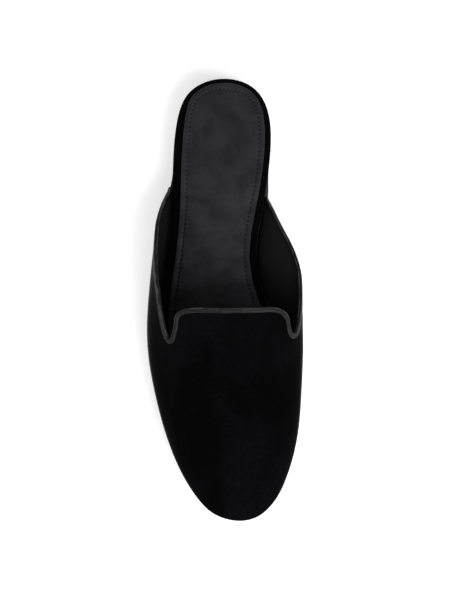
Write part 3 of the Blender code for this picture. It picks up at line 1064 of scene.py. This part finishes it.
@dataclass
class Edging:
    """The rolled leather binding: a soft roll with a groove along its velvet side."""

    half_width: float = 1.66 * MM
    half_depth: float = 1.42 * MM
    set_back: float = 0.30 * MM
    groove_place: float = -0.10 * MM
    groove_width: float = 0.62 * MM
    groove_depth: float = 0.32 * MM
    # Where the painted highlight runs along each ridge of the roll, and how wide it is.
    highlight_ridge_place: float = 1.38 * MM
    highlight_ridge_width: float = 0.15 * MM
    section_points: int = 40
    squareness: float = 2.7
    step: float = 0.8 * MM
    end_reach: float = 2 * MM
    end_height: float = 0.4 * MM
    core: tuple[float, float] = (4 * MM, 20 * MM)
    finishes: dict[str, bpy.types.Material] = field(default_factory=dict)

    def ring_middles(self) -> np.ndarray:
        """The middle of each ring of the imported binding's points, from one end to the other.

        Returns:
            One row for each ring.
        """
        roll = from_node("binding", "binding_guide")
        mesh = bmesh.new()
        mesh.from_mesh(roll.data)
        bpy.data.objects.remove(roll)
        bmesh.ops.triangulate(mesh, faces=[f for f in mesh.faces if len(f.verts) > 4])
        ring = self.cap_of(min(mesh.verts, key=lambda v: v.co.z))
        middles, seen = [], set(ring)
        while ring:
            middles.append(np.mean([tuple(v.co) for v in ring], axis=0))
            ring = {e.other_vert(v) for v in ring for e in v.link_edges} - seen
            seen |= ring
        mesh.free()
        return np.array(middles)

    def cap_of(self, start: bmesh.types.BMVert) -> set[bmesh.types.BMVert]:
        """The vertices of the end face that a vertex is on.

        Args:
            start: a vertex of the end face.

        Returns:
            The end face's vertices.
        """
        faces: set[bmesh.types.BMFace] = set()
        near = {f for f in start.link_faces if abs(f.normal.z) > LEVEL}
        while near:
            faces |= near
            beside = {g for f in near for e in f.edges for g in e.link_faces}
            near = {g for g in beside if abs(g.normal.z) > LEVEL} - faces
        return {v for f in faces for v in f.verts}

    def frames(self, upper: BVHTree) -> tuple[np.ndarray, np.ndarray, np.ndarray, np.ndarray]:
        """The binding's middle line and its directions.

        Args:
            upper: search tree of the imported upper.

        Returns:
            Middles, tangents, the way out over the edge, and the surface's normals.
        """
        middles = self.ring_middles()
        away = []
        for p in middles:
            near, _, _, _ = upper.find_nearest(Vector(p))
            away.append(np.array(p) - np.array(near))
        table = resampled(np.hstack([middles, np.array(away)]), self.step)
        middles, away = table[:, :3], table[:, 3:]
        for _ in range(4):
            middles[1:-1] += ((middles[2:] + middles[:-2]) / 2 - middles[1:-1]) * 0.4
            away[1:-1] += ((away[2:] + away[:-2]) / 2 - away[1:-1]) * 0.6
        along = unit(np.gradient(middles, axis=0))
        away = unit(away - (away * along).sum(1, keepdims=True) * along)
        up = np.cross(along, away)
        core = np.array([self.core[0], 0.0, self.core[1]]) + middles * (0, 1, 0)
        if ((middles - core) * up).sum() < 0:
            up = -up
        return middles, along, away, up

    def section(self) -> np.ndarray:
        """The roll's cross-section as distances out over the edge and up from the middle.

        Returns:
            One row for each point.
        """
        half_step = math.pi / self.section_points
        turn = np.linspace(0, 2 * math.pi, self.section_points, endpoint=False) + half_step
        power = 2 / self.squareness
        out = np.sign(np.cos(turn)) * np.abs(np.cos(turn)) ** power * self.half_width
        up = np.sign(np.sin(turn)) * np.abs(np.sin(turn)) ** power * self.half_depth
        press = self.groove_depth * bell(out - self.groove_place, self.groove_width)
        up = up - np.sign(up) * press * (np.abs(up) > self.half_depth * 0.5)
        return np.column_stack([out, up])

    def build(self, upper: BVHTree) -> Mesh:
        """Sweeps the roll along the edge and stitches it.

        Args:
            upper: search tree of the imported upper.

        Returns:
            The finished roll.
        """
        middles, along, away, up = self.frames(upper)
        middles = middles - away * self.set_back
        section = self.section()
        rings = middles[:, None] + away[:, None] * section[None, :, :1] + up[:, None] * section[None, :, 1:]
        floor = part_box("binding")[0][2]
        for end in (0, -1):
            level = min(middles[end][2], rings[end][:, 2].min() + self.end_height)
            slide = (level - rings[end][:, 2]) / (along[end][2] or 1.0)
            rings[end] += along[end] * np.clip(slide, -self.end_reach, self.end_reach)[:, None]
        rings[..., 2] = np.maximum(rings[..., 2], floor)
        count, size = rings.shape[:2]
        faces = ring_faces(count, size)
        faces.append(tuple(range(size))[::-1])
        faces.append(tuple((count - 1) * size + m for m in range(size)))
        roll = from_data("rolled_binding", rings.reshape(-1, 3), faces)
        edit(roll)
        bpy.ops.mesh.select_all(action="SELECT")
        bpy.ops.mesh.normals_make_consistent(inside=False)
        done()
        roll.data.materials.append(self.finishes["binding"])
        out, high = section.T
        # The groove is darkened with painted shade, and thin painted highlights lie along both ridges of the
        # roll, kept in the wear layer.
        groove = bell(out - self.groove_place, self.groove_width)
        ridge_highlight = bell(np.abs(out) - self.highlight_ridge_place, self.highlight_ridge_width) * ((high > 0) | (out > 0))
        set_layer(roll, WEAR_AND_HIGHLIGHT_LAYER, np.tile(ridge_highlight, count))
        set_layer(roll, PAINTED_SHADE_LAYER, np.tile(groove, count))
        shade(roll, 60)
        finish_piece(roll, ["binding"])
        self.stitch(middles, away, up)
        return roll

    def stitch(self, middles: np.ndarray, away: np.ndarray, up: np.ndarray) -> None:
        """Lays a fine row of stitches in the groove.

        Args:
            middles: the roll's middle line.
            away: the way out over the edge.
            up: the surface's normals.
        """
        run = Stitching(
            "binding_stitches",
            length=1.5 * MM,
            gap=0.45 * MM,
            width=0.34 * MM,
            proud=0.16 * MM,
            hole_length=0.36 * MM,
            hole_width=0.3 * MM,
        )
        line = middles + away * self.groove_place + up * (self.half_depth - self.groove_depth)
        table = resampled(np.hstack([line, up]), run.pitch())[3:-3]
        thread, hole = self.finishes["edge_thread"], self.finishes["hole"]
        run.build(table[:, :3], unit(table[:, 3:]), thread, hole, Slot.BINDING)


@dataclass
class Sock:
    """The leather sock: a thin sheet glued down, sewn inside its edge through pricked holes.

    ring_insets holds each ring's distance from the outline, in millimetres.
    """

    thickness: float = 1.1 * MM
    stitches: int = 212
    steps_per_stitch: int = 5
    ring_insets: tuple[float, ...] = (0, 0.25, 0.6, 1.2, 2.0, 2.7, 3.1, 3.38, 3.65, 3.92, 4.2, 4.6, 5.3, 6.3)
    level_rings: int = 4
    stitch_ring: int = 8
    columns: int = 40
    end_reach: float = 14 * MM
    worn_width: float = 1.1 * MM
    skive_width: float = 0.28 * MM
    skive_depth: float = 0.42 * MM
    channel_width: float = 0.55 * MM
    channel_depth: float = 0.30 * MM
    hole_radius: float = 0.52 * MM
    hole_depth: float = 0.55 * MM
    swell: float = 0.55 * MM
    swell_reach: float = 7 * MM
    calm_reach: float = 8 * MM
    slow_height: float = 0.06 * MM
    pucker_place: float = 1.6 * MM
    pucker_width: float = 1.5 * MM
    pucker_height: float = 0.05 * MM
    heel_middle: tuple[float, float] = (-1 * MM, 108 * MM)
    dip_half_size: tuple[float, float] = (20 * MM, 26 * MM)
    dip_depth: float = 0.30 * MM
    finishes: dict[str, bpy.types.Material] = field(default_factory=dict)

    def build(self) -> Mesh:
        """Cuts the sheet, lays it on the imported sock's surface, sews it and gives it its thickness.

        Returns:
            The finished sock.
        """
        rings = self.rings()
        plan, faces = self.net(rings)
        points = self.laid(plan, rings)
        sheet = from_data("leather_sock", points, faces)
        only(sheet)
        body = sheet.modifiers.new("body", "SOLIDIFY")
        body.thickness = self.thickness
        body.offset = -1.0
        bpy.ops.object.modifier_apply(modifier=body.name)
        relief, holes, inset = self.relief(plan, rings)
        points = points_of(sheet)
        points[: len(plan), 2] += relief
        move_points(sheet, points)
        below = len(points) - len(plan)
        set_layer(sheet, WEAR_AND_HIGHLIGHT_LAYER, np.append(np.exp(-inset / self.worn_width), np.zeros(below)))
        # The needle holes are darkened with painted shade.
        set_layer(sheet, PAINTED_SHADE_LAYER, np.append(holes, np.zeros(below)))
        sheet.data.materials.append(self.finishes["sock"])
        shade(sheet, 60)
        finish_piece(sheet, ["sock"])
        self.sew(points[: rings.shape[0] * rings.shape[1]].reshape(*rings.shape[:2], 3))
        return sheet

    def rings(self) -> np.ndarray:
        """Plan outlines of the sheet, each further inside the last, from the back of the heel round.

        Returns:
            An array of rings, points and plan coordinates.
        """
        guide = from_node("sock", "sock_guide")
        rim = closed_smooth(resampled(rim_loop(guide, 60), 1.0 * MM, closed=True))[:, :2]
        bpy.data.objects.remove(guide)
        if signed_area(rim) < 0:
            rim = rim[::-1]
        rim = np.roll(rim, -int(np.argmax(rim[:, 1])), axis=0)
        count = self.stitches * self.steps_per_stitch
        around = np.linalg.norm(np.roll(rim, -1, 0) - rim, axis=1).sum()
        rim = resampled(rim, around / count, closed=True)
        rim = closed_smooth(rim, 8)
        return np.array([outline_inset(rim, inset * MM) for inset in self.ring_insets])

    def net(self, rings: np.ndarray) -> tuple[np.ndarray, Faces]:
        """Joins the rings and fills the innermost with rows from side to side.

        Args:
            rings: the plan outlines.

        Returns:
            Plan points and faces.
        """
        layers, count = rings.shape[:2]
        across, along = self.columns, count // 2 - self.columns
        inner = rings[-1]
        first = (layers - 1) * count

        def at(u: int, v: int) -> int:
            """The number of a point of the middle.

            Args:
                u: its column.
                v: its row.

            Returns:
                The number.
            """
            if v == 0:
                return first + (u - across // 2) % count
            if v == along:
                return first + (-across // 2 - along - u) % count
            if u == 0:
                return first + (-across // 2 - v) % count
            if u == across:
                return first + (across // 2 + v) % count
            return layers * count + (v - 1) * (across - 1) + u - 1

        share = np.linspace(0, 1, across + 1)[:, None]
        heel = inner[[(u - across // 2) % count for u in range(across + 1)]]
        toe = inner[[(-across // 2 - along - u) % count for u in range(across + 1)]]
        step = np.linalg.norm(inner[1] - inner[0])
        rows = []
        for v in range(1, along):
            right, left = inner[(-across // 2 - v) % count], inner[(across // 2 + v) % count]
            row = right + (left - right) * share
            for end, far in ((heel, v), (toe, along - v)):
                bulge = end - (end[0] + (end[-1] - end[0]) * share)
                row = row + bulge * math.exp(-far * step / self.end_reach)
            rows.append(row[1:-1])
        faces = ring_faces(layers, count)
        for v in range(along):
            for u in range(across):
                faces.append((at(u, v), at(u + 1, v), at(u + 1, v + 1), at(u, v + 1)))
        return np.vstack([rings.reshape(-1, 2), np.vstack(rows)]), faces

    def laid(self, plan: np.ndarray, rings: np.ndarray) -> np.ndarray:
        """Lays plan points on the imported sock's top, and the outermost rings level with the next.

        Args:
            plan: the plan points, those of the rings first.
            rings: the plan outlines.

        Returns:
            One row for each point.
        """
        guide = from_node("sock", "sock_guide")
        crease_sharp(guide, 35, 1.0)
        smoothed(guide, 2)
        surface = tree_of(guide)
        bpy.data.objects.remove(guide)
        count = rings.shape[1]
        first = self.level_rings * count
        heights = np.zeros(len(plan))
        for i in range(first, len(plan)):
            hit = surface.ray_cast(Vector((*plan[i], 0.1)), Vector((0, 0, -1)))[0]
            heights[i] = hit[2]
        heights[:first] = np.tile(heights[first : first + count], self.level_rings)
        return np.column_stack([plan, heights])

    def relief(self, plan: np.ndarray, rings: np.ndarray) -> tuple[np.ndarray, np.ndarray, np.ndarray]:
        """The rise and fall of the sheet: its skived edge, channel, needle holes and soft swell.

        Args:
            plan: the plan points.
            rings: the plan outlines.

        Returns:
            Each point's rise, how far it is in a needle hole, and its distance from the outline.
        """
        layers, count = rings.shape[:2]
        near = layers * count
        insets = np.array(self.ring_insets) * MM
        inner = distance_to(plan[near:], rings[0])
        inset = np.append(np.repeat(insets, count), np.maximum(inner, insets[-1]))
        pricks = rings[self.stitch_ring][:: self.steps_per_stitch]
        holes = np.zeros(len(plan))
        holes[:near] = bell(distance_to(plan[:near], pricks), self.hole_radius)
        inside = inset - insets[self.stitch_ring]
        channel = bell(inside, self.channel_width)
        swell = np.clip(inside / self.swell_reach, 0, 1) ** 0.6
        skive = np.exp(-inset / self.skive_width)
        x, y = plan.T
        slow = np.sin(x * 260 + 1.3 * np.sin(y * 90)) * np.sin(y * 170 + 0.7)
        pucker = np.sin(y * 520 + 2 * np.sin(y * 61)) * bell(inside - self.pucker_place, self.pucker_width)
        far_x, far_y = x - self.heel_middle[0], y - self.heel_middle[1]
        dip = bell(far_x, self.dip_half_size[0]) * bell(far_y, self.dip_half_size[1])
        calm = np.clip(inside / self.calm_reach, 0, 1)
        rise = self.swell * swell - self.skive_depth * skive
        rise -= self.channel_depth * channel + self.hole_depth * holes
        rise += (self.slow_height * slow - self.dip_depth * dip) * calm + self.pucker_height * pucker
        return rise, holes, inset

    def sew(self, grid: np.ndarray) -> None:
        """Lays a stitch from each needle hole to the next, all the way round.

        Args:
            grid: the finished points of the rings.
        """
        run = Stitching("sock_stitches", length=1.7 * MM, gap=0.9 * MM, width=0.42 * MM, pricked=False)
        half = self.steps_per_stitch // 2
        line = grid[self.stitch_ring]
        middles = (line[half :: self.steps_per_stitch] + line[half + 1 :: self.steps_per_stitch]) / 2
        beside = grid[self.stitch_ring + 2][half :: self.steps_per_stitch]
        across = unit(beside - middles)
        along = unit(np.roll(middles, -1, 0) - np.roll(middles, 1, 0))
        normals = unit(np.cross(across, along))
        normals *= np.sign(normals[:, 2:])
        normals = unit(normals * 0.3 + (0, 0, 1))
        thread, hole = self.finishes["sock_thread"], self.finishes["hole"]
        run.build(middles, normals, thread, hole, Slot.SOCK, closed=True)


@dataclass
class Footbed:
    """The platform wrapped in velvet, whose rolled rim shows round the sock."""

    finishes: dict[str, bpy.types.Material] = field(default_factory=dict)

    def build(self) -> Mesh:
        """Rounds the wrapped platform.

        Returns:
            The finished piece.
        """
        bed = from_node("footbed", "velvet_footbed")
        crease_sharp(bed, 60, 0.9)
        smoothed(bed, 2)
        # The rim takes a copy of the velvet with its sheen cut: painted shade that keeps it dark in the
        # crevice.
        bed.data.materials.append(self.finishes["shaded_rim_velvet"])
        shade(bed, 60)
        finish_piece(bed, ["footbed"])
        return bed


@dataclass
class Outsole:
    """The leather outsole, with its trimmed edge and a stitch channel round the tread."""

    channel_inset: float = 5.5 * MM
    channel_width: float = 0.6 * MM
    channel_depth: float = 0.5 * MM
    channel_end: float = 70 * MM
    channel_fade: float = 4 * MM
    stitches_end: float = 66 * MM
    worn_edge: float = 0.9 * MM
    tread_middle: float = -52 * MM
    tread_reach: float = 42 * MM
    tread_margin: float = 8 * MM
    finishes: dict[str, bpy.types.Material] = field(default_factory=dict)

    def build(self) -> Mesh:
        """Rounds the outsole's edge and cuts the channel in its tread.

        Returns:
            The finished piece.
        """
        sole = from_node("outsole", "leather_outsole")
        crease_sharp(sole, 60, 0.8)
        smoothed(sole, 3)
        points = points_of(sole)
        under = rows_of(sole.data.vertices, "normal")[:, 2] < -0.5
        rim = closed_smooth(resampled(self.edge(), 1.0 * MM, closed=True))
        inset = distance_to(points, rim)
        channel = self.channel_depth * bell(inset - self.channel_inset, self.channel_width)
        ahead = np.clip((self.channel_end - points[:, 1]) / self.channel_fade, 0, 1)
        points[:, 2] += np.where(under, channel * ahead, 0)
        move_points(sole, points)
        edge = np.exp(-inset / self.worn_edge) * 0.8
        tread = np.where(under, bell(points[:, 1] - self.tread_middle, self.tread_reach) * 0.85, 0)
        set_layer(sole, WEAR_AND_HIGHLIGHT_LAYER, np.maximum(edge, tread * np.clip(inset / self.tread_margin, 0, 1)))
        sole.data.materials.append(self.finishes["sole"])
        shade(sole, 50)
        finish_piece(sole, ["outsole"])
        self.sew(sole, rim)
        return sole

    def edge(self) -> np.ndarray:
        """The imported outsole's outline at its underside.

        Returns:
            The outline's points in order.
        """
        guide = from_node("outsole", "outsole_guide")
        low = [p for p in guide.data.polygons if p.normal.z < -LEVEL]
        uses = Counter(key for polygon in low for key in polygon.edge_keys)
        loop = points_of(guide)[longest_run(key for key, times in uses.items() if times == 1)]
        bpy.data.objects.remove(guide)
        return loop

    def sew(self, sole: Mesh, rim: np.ndarray) -> None:
        """Lays the sole's stitches in the channel, round the tread.

        Args:
            sole: the outsole.
            rim: its outline.
        """
        run = Stitching("sole_stitches", length=3.4 * MM, gap=0.8 * MM, width=0.7 * MM, proud=0.1 * MM)
        plan = closed_smooth(outline_inset(rim, self.channel_inset), 6)
        plan = np.roll(plan, -int(np.argmax(plan[:, 1])), axis=0)
        plan = resampled(plan[plan[:, 1] < self.stitches_end], run.pitch())
        surface = tree_of(sole)
        places, normals = [], []
        for x, y in plan:
            hit, normal, _, _ = surface.ray_cast(Vector((x, y, -0.05)), Vector((0, 0, 1)))
            if hit is not None:
                places.append(tuple(hit))
                normals.append(tuple(normal))
        normals = unit(np.array(normals) - (0, 0, 2.0))
        run.build(np.array(places), normals, self.finishes["sole_thread"], self.finishes["hole"], Slot.SOLE)


@dataclass
class Heel:
    """The stacked heel and its rubber lift, with pins through the lift.

    pins holds each pin's place in plan, in millimetres.
    """

    seams: int = 2
    seam_spacing: float = 3.2 * MM
    seam_depth: float = 0.20 * MM
    seam_half_width: float = 0.17 * MM
    stack_bevel: float = 0.25 * MM
    lift_bevel: float = 0.3 * MM
    worn_edge: float = 0.8 * MM
    pin_radius: float = 0.9 * MM
    pin_length: float = 1.2 * MM
    pin_middle: float = 0.62 * MM
    pin_rim: float = 0.25 * MM
    pin_dome: float = 0.02 * MM
    pins: tuple[tuple[float, float], ...] = (
        (-20, 132), (-23, 118), (-23, 102), (20, 131), (21, 117), (20, 102), (-1, 138), (-8, 88), (8, 88),
    )
    finishes: dict[str, bpy.types.Material] = field(default_factory=dict)

    def build(self) -> Mesh:
        """Builds the stack, the lift and the pins.

        Returns:
            The finished stack.
        """
        stack = from_node("heel", "heel_stack")
        crease_sharp(stack, 30, 1.0)
        smoothed(stack, 1)
        low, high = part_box("heel")
        levels = [low[2] + self.seam_spacing * (k + 1) for k in range(self.seams)]
        for level in levels:
            for shift in (-self.seam_half_width, 0.0, self.seam_half_width):
                edit(stack)
                bpy.ops.mesh.select_all(action="SELECT")
                bpy.ops.mesh.bisect(plane_co=(0, 0, level + shift), plane_no=(0, 0, 1))
                done()
        points = points_of(stack)
        middle = (np.array(low[:2]) + np.array(high[:2])) / 2
        for level in levels:
            on = np.abs(points[:, 2] - level) < 0.02 * MM
            points[on, :2] += unit(middle - points[on, :2]) * self.seam_depth
        move_points(stack, points)
        self.soften(stack, self.stack_bevel)
        self.mark_edges(stack)
        stack.data.materials.append(self.finishes["heel"])
        shade(stack, 22)
        finish_piece(stack, ["heel"])
        self.lift()
        self.pin_run()
        return stack

    def soften(self, thing: Mesh, width: float) -> None:
        """Bevels the sharp edges of a piece.

        Args:
            thing: the piece.
            width: the bevel's width.
        """
        only(thing)
        bevel = thing.modifiers.new("edge", "BEVEL")
        bevel.width = width
        bevel.segments = 2
        bevel.limit_method = "ANGLE"
        bevel.angle_limit = math.radians(50)
        bpy.ops.object.modifier_apply(modifier=bevel.name)

    def mark_edges(self, thing: Mesh) -> None:
        """Marks the wear of a piece's upper and lower rims.

        Args:
            thing: the piece.
        """
        points = points_of(thing)
        low, high = points[:, 2].min(), points[:, 2].max()
        near = np.minimum(points[:, 2] - low, np.abs(high - points[:, 2]))
        set_layer(thing, WEAR_AND_HIGHLIGHT_LAYER, np.exp(-near / self.worn_edge) * 0.7)

    def lift(self) -> None:
        """Builds the rubber lift."""
        lift = from_node("top_lift", "rubber_lift")
        crease_sharp(lift, 30, 1.0)
        smoothed(lift, 1)
        self.soften(lift, self.lift_bevel)
        self.mark_edges(lift)
        lift.data.materials.append(self.finishes["rubber"])
        shade(lift, 40)
        finish_piece(lift, ["top_lift"])

    def pin_run(self) -> None:
        """Sets the brass pins flush in the lift's underside."""
        heads = []
        for x, y in self.pins:
            bpy.ops.object.select_all(action="DESELECT")
            bpy.ops.mesh.primitive_cylinder_add(
                vertices=16,
                radius=self.pin_radius,
                depth=self.pin_length,
                location=(x * MM, y * MM, self.pin_middle),
            )
            head = bpy.context.object
            bpy.ops.object.transform_apply(location=True)
            edit(head, "FACE")
            done()
            for polygon in head.data.polygons:
                polygon.select = polygon.normal.z < -LEVEL
            bpy.ops.object.mode_set(mode="EDIT")
            bpy.ops.mesh.inset(thickness=self.pin_rim)
            bpy.ops.transform.translate(value=(0, 0, -self.pin_dome))
            done()
            heads.append(head)
        bpy.ops.object.select_all(action="DESELECT")
        for head in heads:
            head.select_set(True)
        bpy.context.view_layer.objects.active = heads[0]
        bpy.ops.object.join()
        pins = bpy.context.object
        pins.name = pins.data.name = "lift_pins"
        pins.data.materials.clear()
        pins.data.materials.append(self.finishes["brass"])
        shade(pins, 40)
        finish_piece(pins)


# The studio


@dataclass
class Studio:
    """A pale floor, soft panels of light and the photograph's view from straight above."""

    image_height_mm: float = 392.0
    sensor_mm: float = 24.0
    distance: float = 2.2
    floor_size: float = 3.2
    floor_colour: Colour = (0.93, 0.93, 0.93)
    floor_glow: float = 0.28
    horizon: float = 1.0
    overhead: float = 0.34
    focus_height: float = 0.03

    def build(self) -> None:
        """Sets the floor, the lights, the surroundings and the camera."""
        self.floor()
        self.lights()
        self.surroundings()
        self.camera()

    def floor(self) -> None:
        """Lays the pale floor."""
        bpy.ops.object.select_all(action="DESELECT")
        bpy.ops.mesh.primitive_plane_add(size=self.floor_size)
        floor = bpy.context.object
        floor.name = floor.data.name = "studio_floor"
        material, tree, shader = new_material("studio_paper")
        low = tuple(c * 0.985 for c in self.floor_colour)
        values = {
            "Base Color": tree.blend(tree.noise(place_of(tree), 3.0, 2.0), low, self.floor_colour),
            "Roughness": 0.9,
            "Specular IOR Level": 0.1,
            "Emission Color": WHITE,
            "Emission Strength": self.floor_glow,
        }
        tree.fill(shader, values)
        floor.data.materials.append(material)

    def lights(self) -> None:
        """Hangs four square panels: the key, a fill opposite, one behind the heel and one before the toe."""
        target = Vector((0, 0.02, 0.02))
        panels = (
            ("key", (0.80, -0.65, 1.20), 1.3, 26.5),
            ("fill", (-1.20, -0.20, 0.95), 1.5, 9.0),
            ("heel_side", (0.0, 1.80, 0.60), 1.0, 8.0),
            ("toe_side", (-0.1, -1.35, 0.95), 1.2, 9.0),
        )
        for name, place, size, power in panels:
            light = bpy.data.lights.new(name, "AREA")
            light.shape = "SQUARE"
            light.size = size
            light.energy = power
            lamp = bpy.data.objects.new(name, light)
            lamp.location = place
            lamp.rotation_euler = (target - lamp.location).to_track_quat("-Z", "Y").to_euler()
            bpy.context.scene.collection.objects.link(lamp)

    def surroundings(self) -> None:
        """Fills the room with soft light that is brightest low down, where it meets the floor."""
        world = bpy.data.worlds.new("studio_air")
        world.use_nodes = True
        tree = Tree(world.node_tree)
        way = tree.add("ShaderNodeTexCoord").outputs["Generated"]
        height = tree.add("ShaderNodeSeparateXYZ", {"Vector": way}).outputs["Z"]
        back = world.node_tree.nodes["Background"]
        strength = tree.ramp(height, 0.10, 0.50, self.horizon, self.overhead)
        tree.fill(back, {"Color": WHITE, "Strength": strength})
        bpy.context.scene.world = world
        bpy.context.scene.view_settings.view_transform = "Standard"

    def camera(self) -> None:
        """Looks straight down, with the heel at the top of the picture."""
        lens = bpy.data.cameras.new("overhead")
        lens.sensor_fit = "AUTO"
        lens.sensor_width = self.sensor_mm
        lens.lens = self.sensor_mm * (self.distance - self.focus_height) / (self.image_height_mm * MM)
        camera = bpy.data.objects.new("overhead", lens)
        camera.location = (0.0, 0.0, self.distance)
        bpy.context.scene.collection.objects.link(camera)
        bpy.context.scene.camera = camera


def make_finishes() -> dict[str, bpy.types.Material]:
    """Makes every finish of the shoe.

    Returns:
        Each finish by its short name.
    """
    kinds = {
        "velvet": Velvet(),
        # A copy of the velvet with its sheen cut, painted shade for the footbed's rim in the crevice.
        "shaded_rim_velvet": Velvet("shaded_rim_velvet", sheen=0.04),
        "lining": Leather(
            "lining_leather", (0.0024, 0.0023, 0.0026), (0.0054, 0.0052, 0.0057), (0.008, 0.0078, 0.0085),
            roughness=0.58, specular=0.14, cell_scale=1700.0, grain_height=0.05 * MM,
        ),
        "sock": Leather(
            "sock_leather", (0.0048, 0.0045, 0.0058), (0.0136, 0.0128, 0.0160), (0.019, 0.018, 0.021),
            roughness=0.56, specular=0.15, cell_scale=1050.0, mottle_scale=70.0, grain_height=0.09 * MM,
            crease_shade=0.30,
        ),
        # The binding's worn colour is the painted highlight along the roll's ridges.
        "binding": Leather(
            "binding_leather", (0.0036, 0.0035, 0.0039), (0.0068, 0.0066, 0.0072), (0.055, 0.054, 0.057),
            roughness=0.28, specular=0.11, coat=0.01, cell_scale=2300.0, grain_height=0.03 * MM, wear=0.9,
        ),
        "sole": Leather(
            "sole_leather", (0.0032, 0.0030, 0.0029), (0.0068, 0.0065, 0.0062), (0.026, 0.023, 0.020),
            roughness=0.42, specular=0.20, cell_scale=900.0, grain_height=0.04 * MM, wear=0.6,
        ),
        "heel": Leather(
            "heel_leather", (0.0028, 0.0027, 0.0026), (0.0060, 0.0057, 0.0055), (0.020, 0.017, 0.015),
            roughness=0.36, specular=0.22, coat=0.07, cell_scale=1300.0, grain_height=0.03 * MM,
        ),
        "rubber": Rubber(),
        "brass": Brass(),
        "sock_thread": Thread("sock_thread", (0.006, 0.0058, 0.0066), (0.014, 0.0135, 0.0152)),
        "edge_thread": Thread("edge_thread", (0.007, 0.0068, 0.0073), (0.017, 0.0166, 0.0176)),
        "sole_thread": Thread("sole_thread", (0.012, 0.011, 0.010), (0.034, 0.030, 0.026)),
        # Near-black painted shade for the needle holes.
        "hole": Thread("needle_hole_shade", (0.0003, 0.0003, 0.0004), (0.0009, 0.0009, 0.0010)),
    }
    return {name: finish.material() for name, finish in kinds.items()}


def main() -> None:
    """Builds and dresses the shoe, then sets the studio."""
    logging.basicConfig(level=logging.INFO, format="%(name)s: %(message)s")
    finishes = make_finishes()
    packed_upper = tree_of(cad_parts["upper"])
    Outsole(finishes=finishes).build()
    Heel(finishes=finishes).build()
    Footbed(finishes=finishes).build()
    Sock(finishes=finishes).build()
    Upper(finishes=finishes).build()
    Edging(finishes=finishes).build(packed_upper)
    Studio().build()


if __name__ == "__main__":
    main()
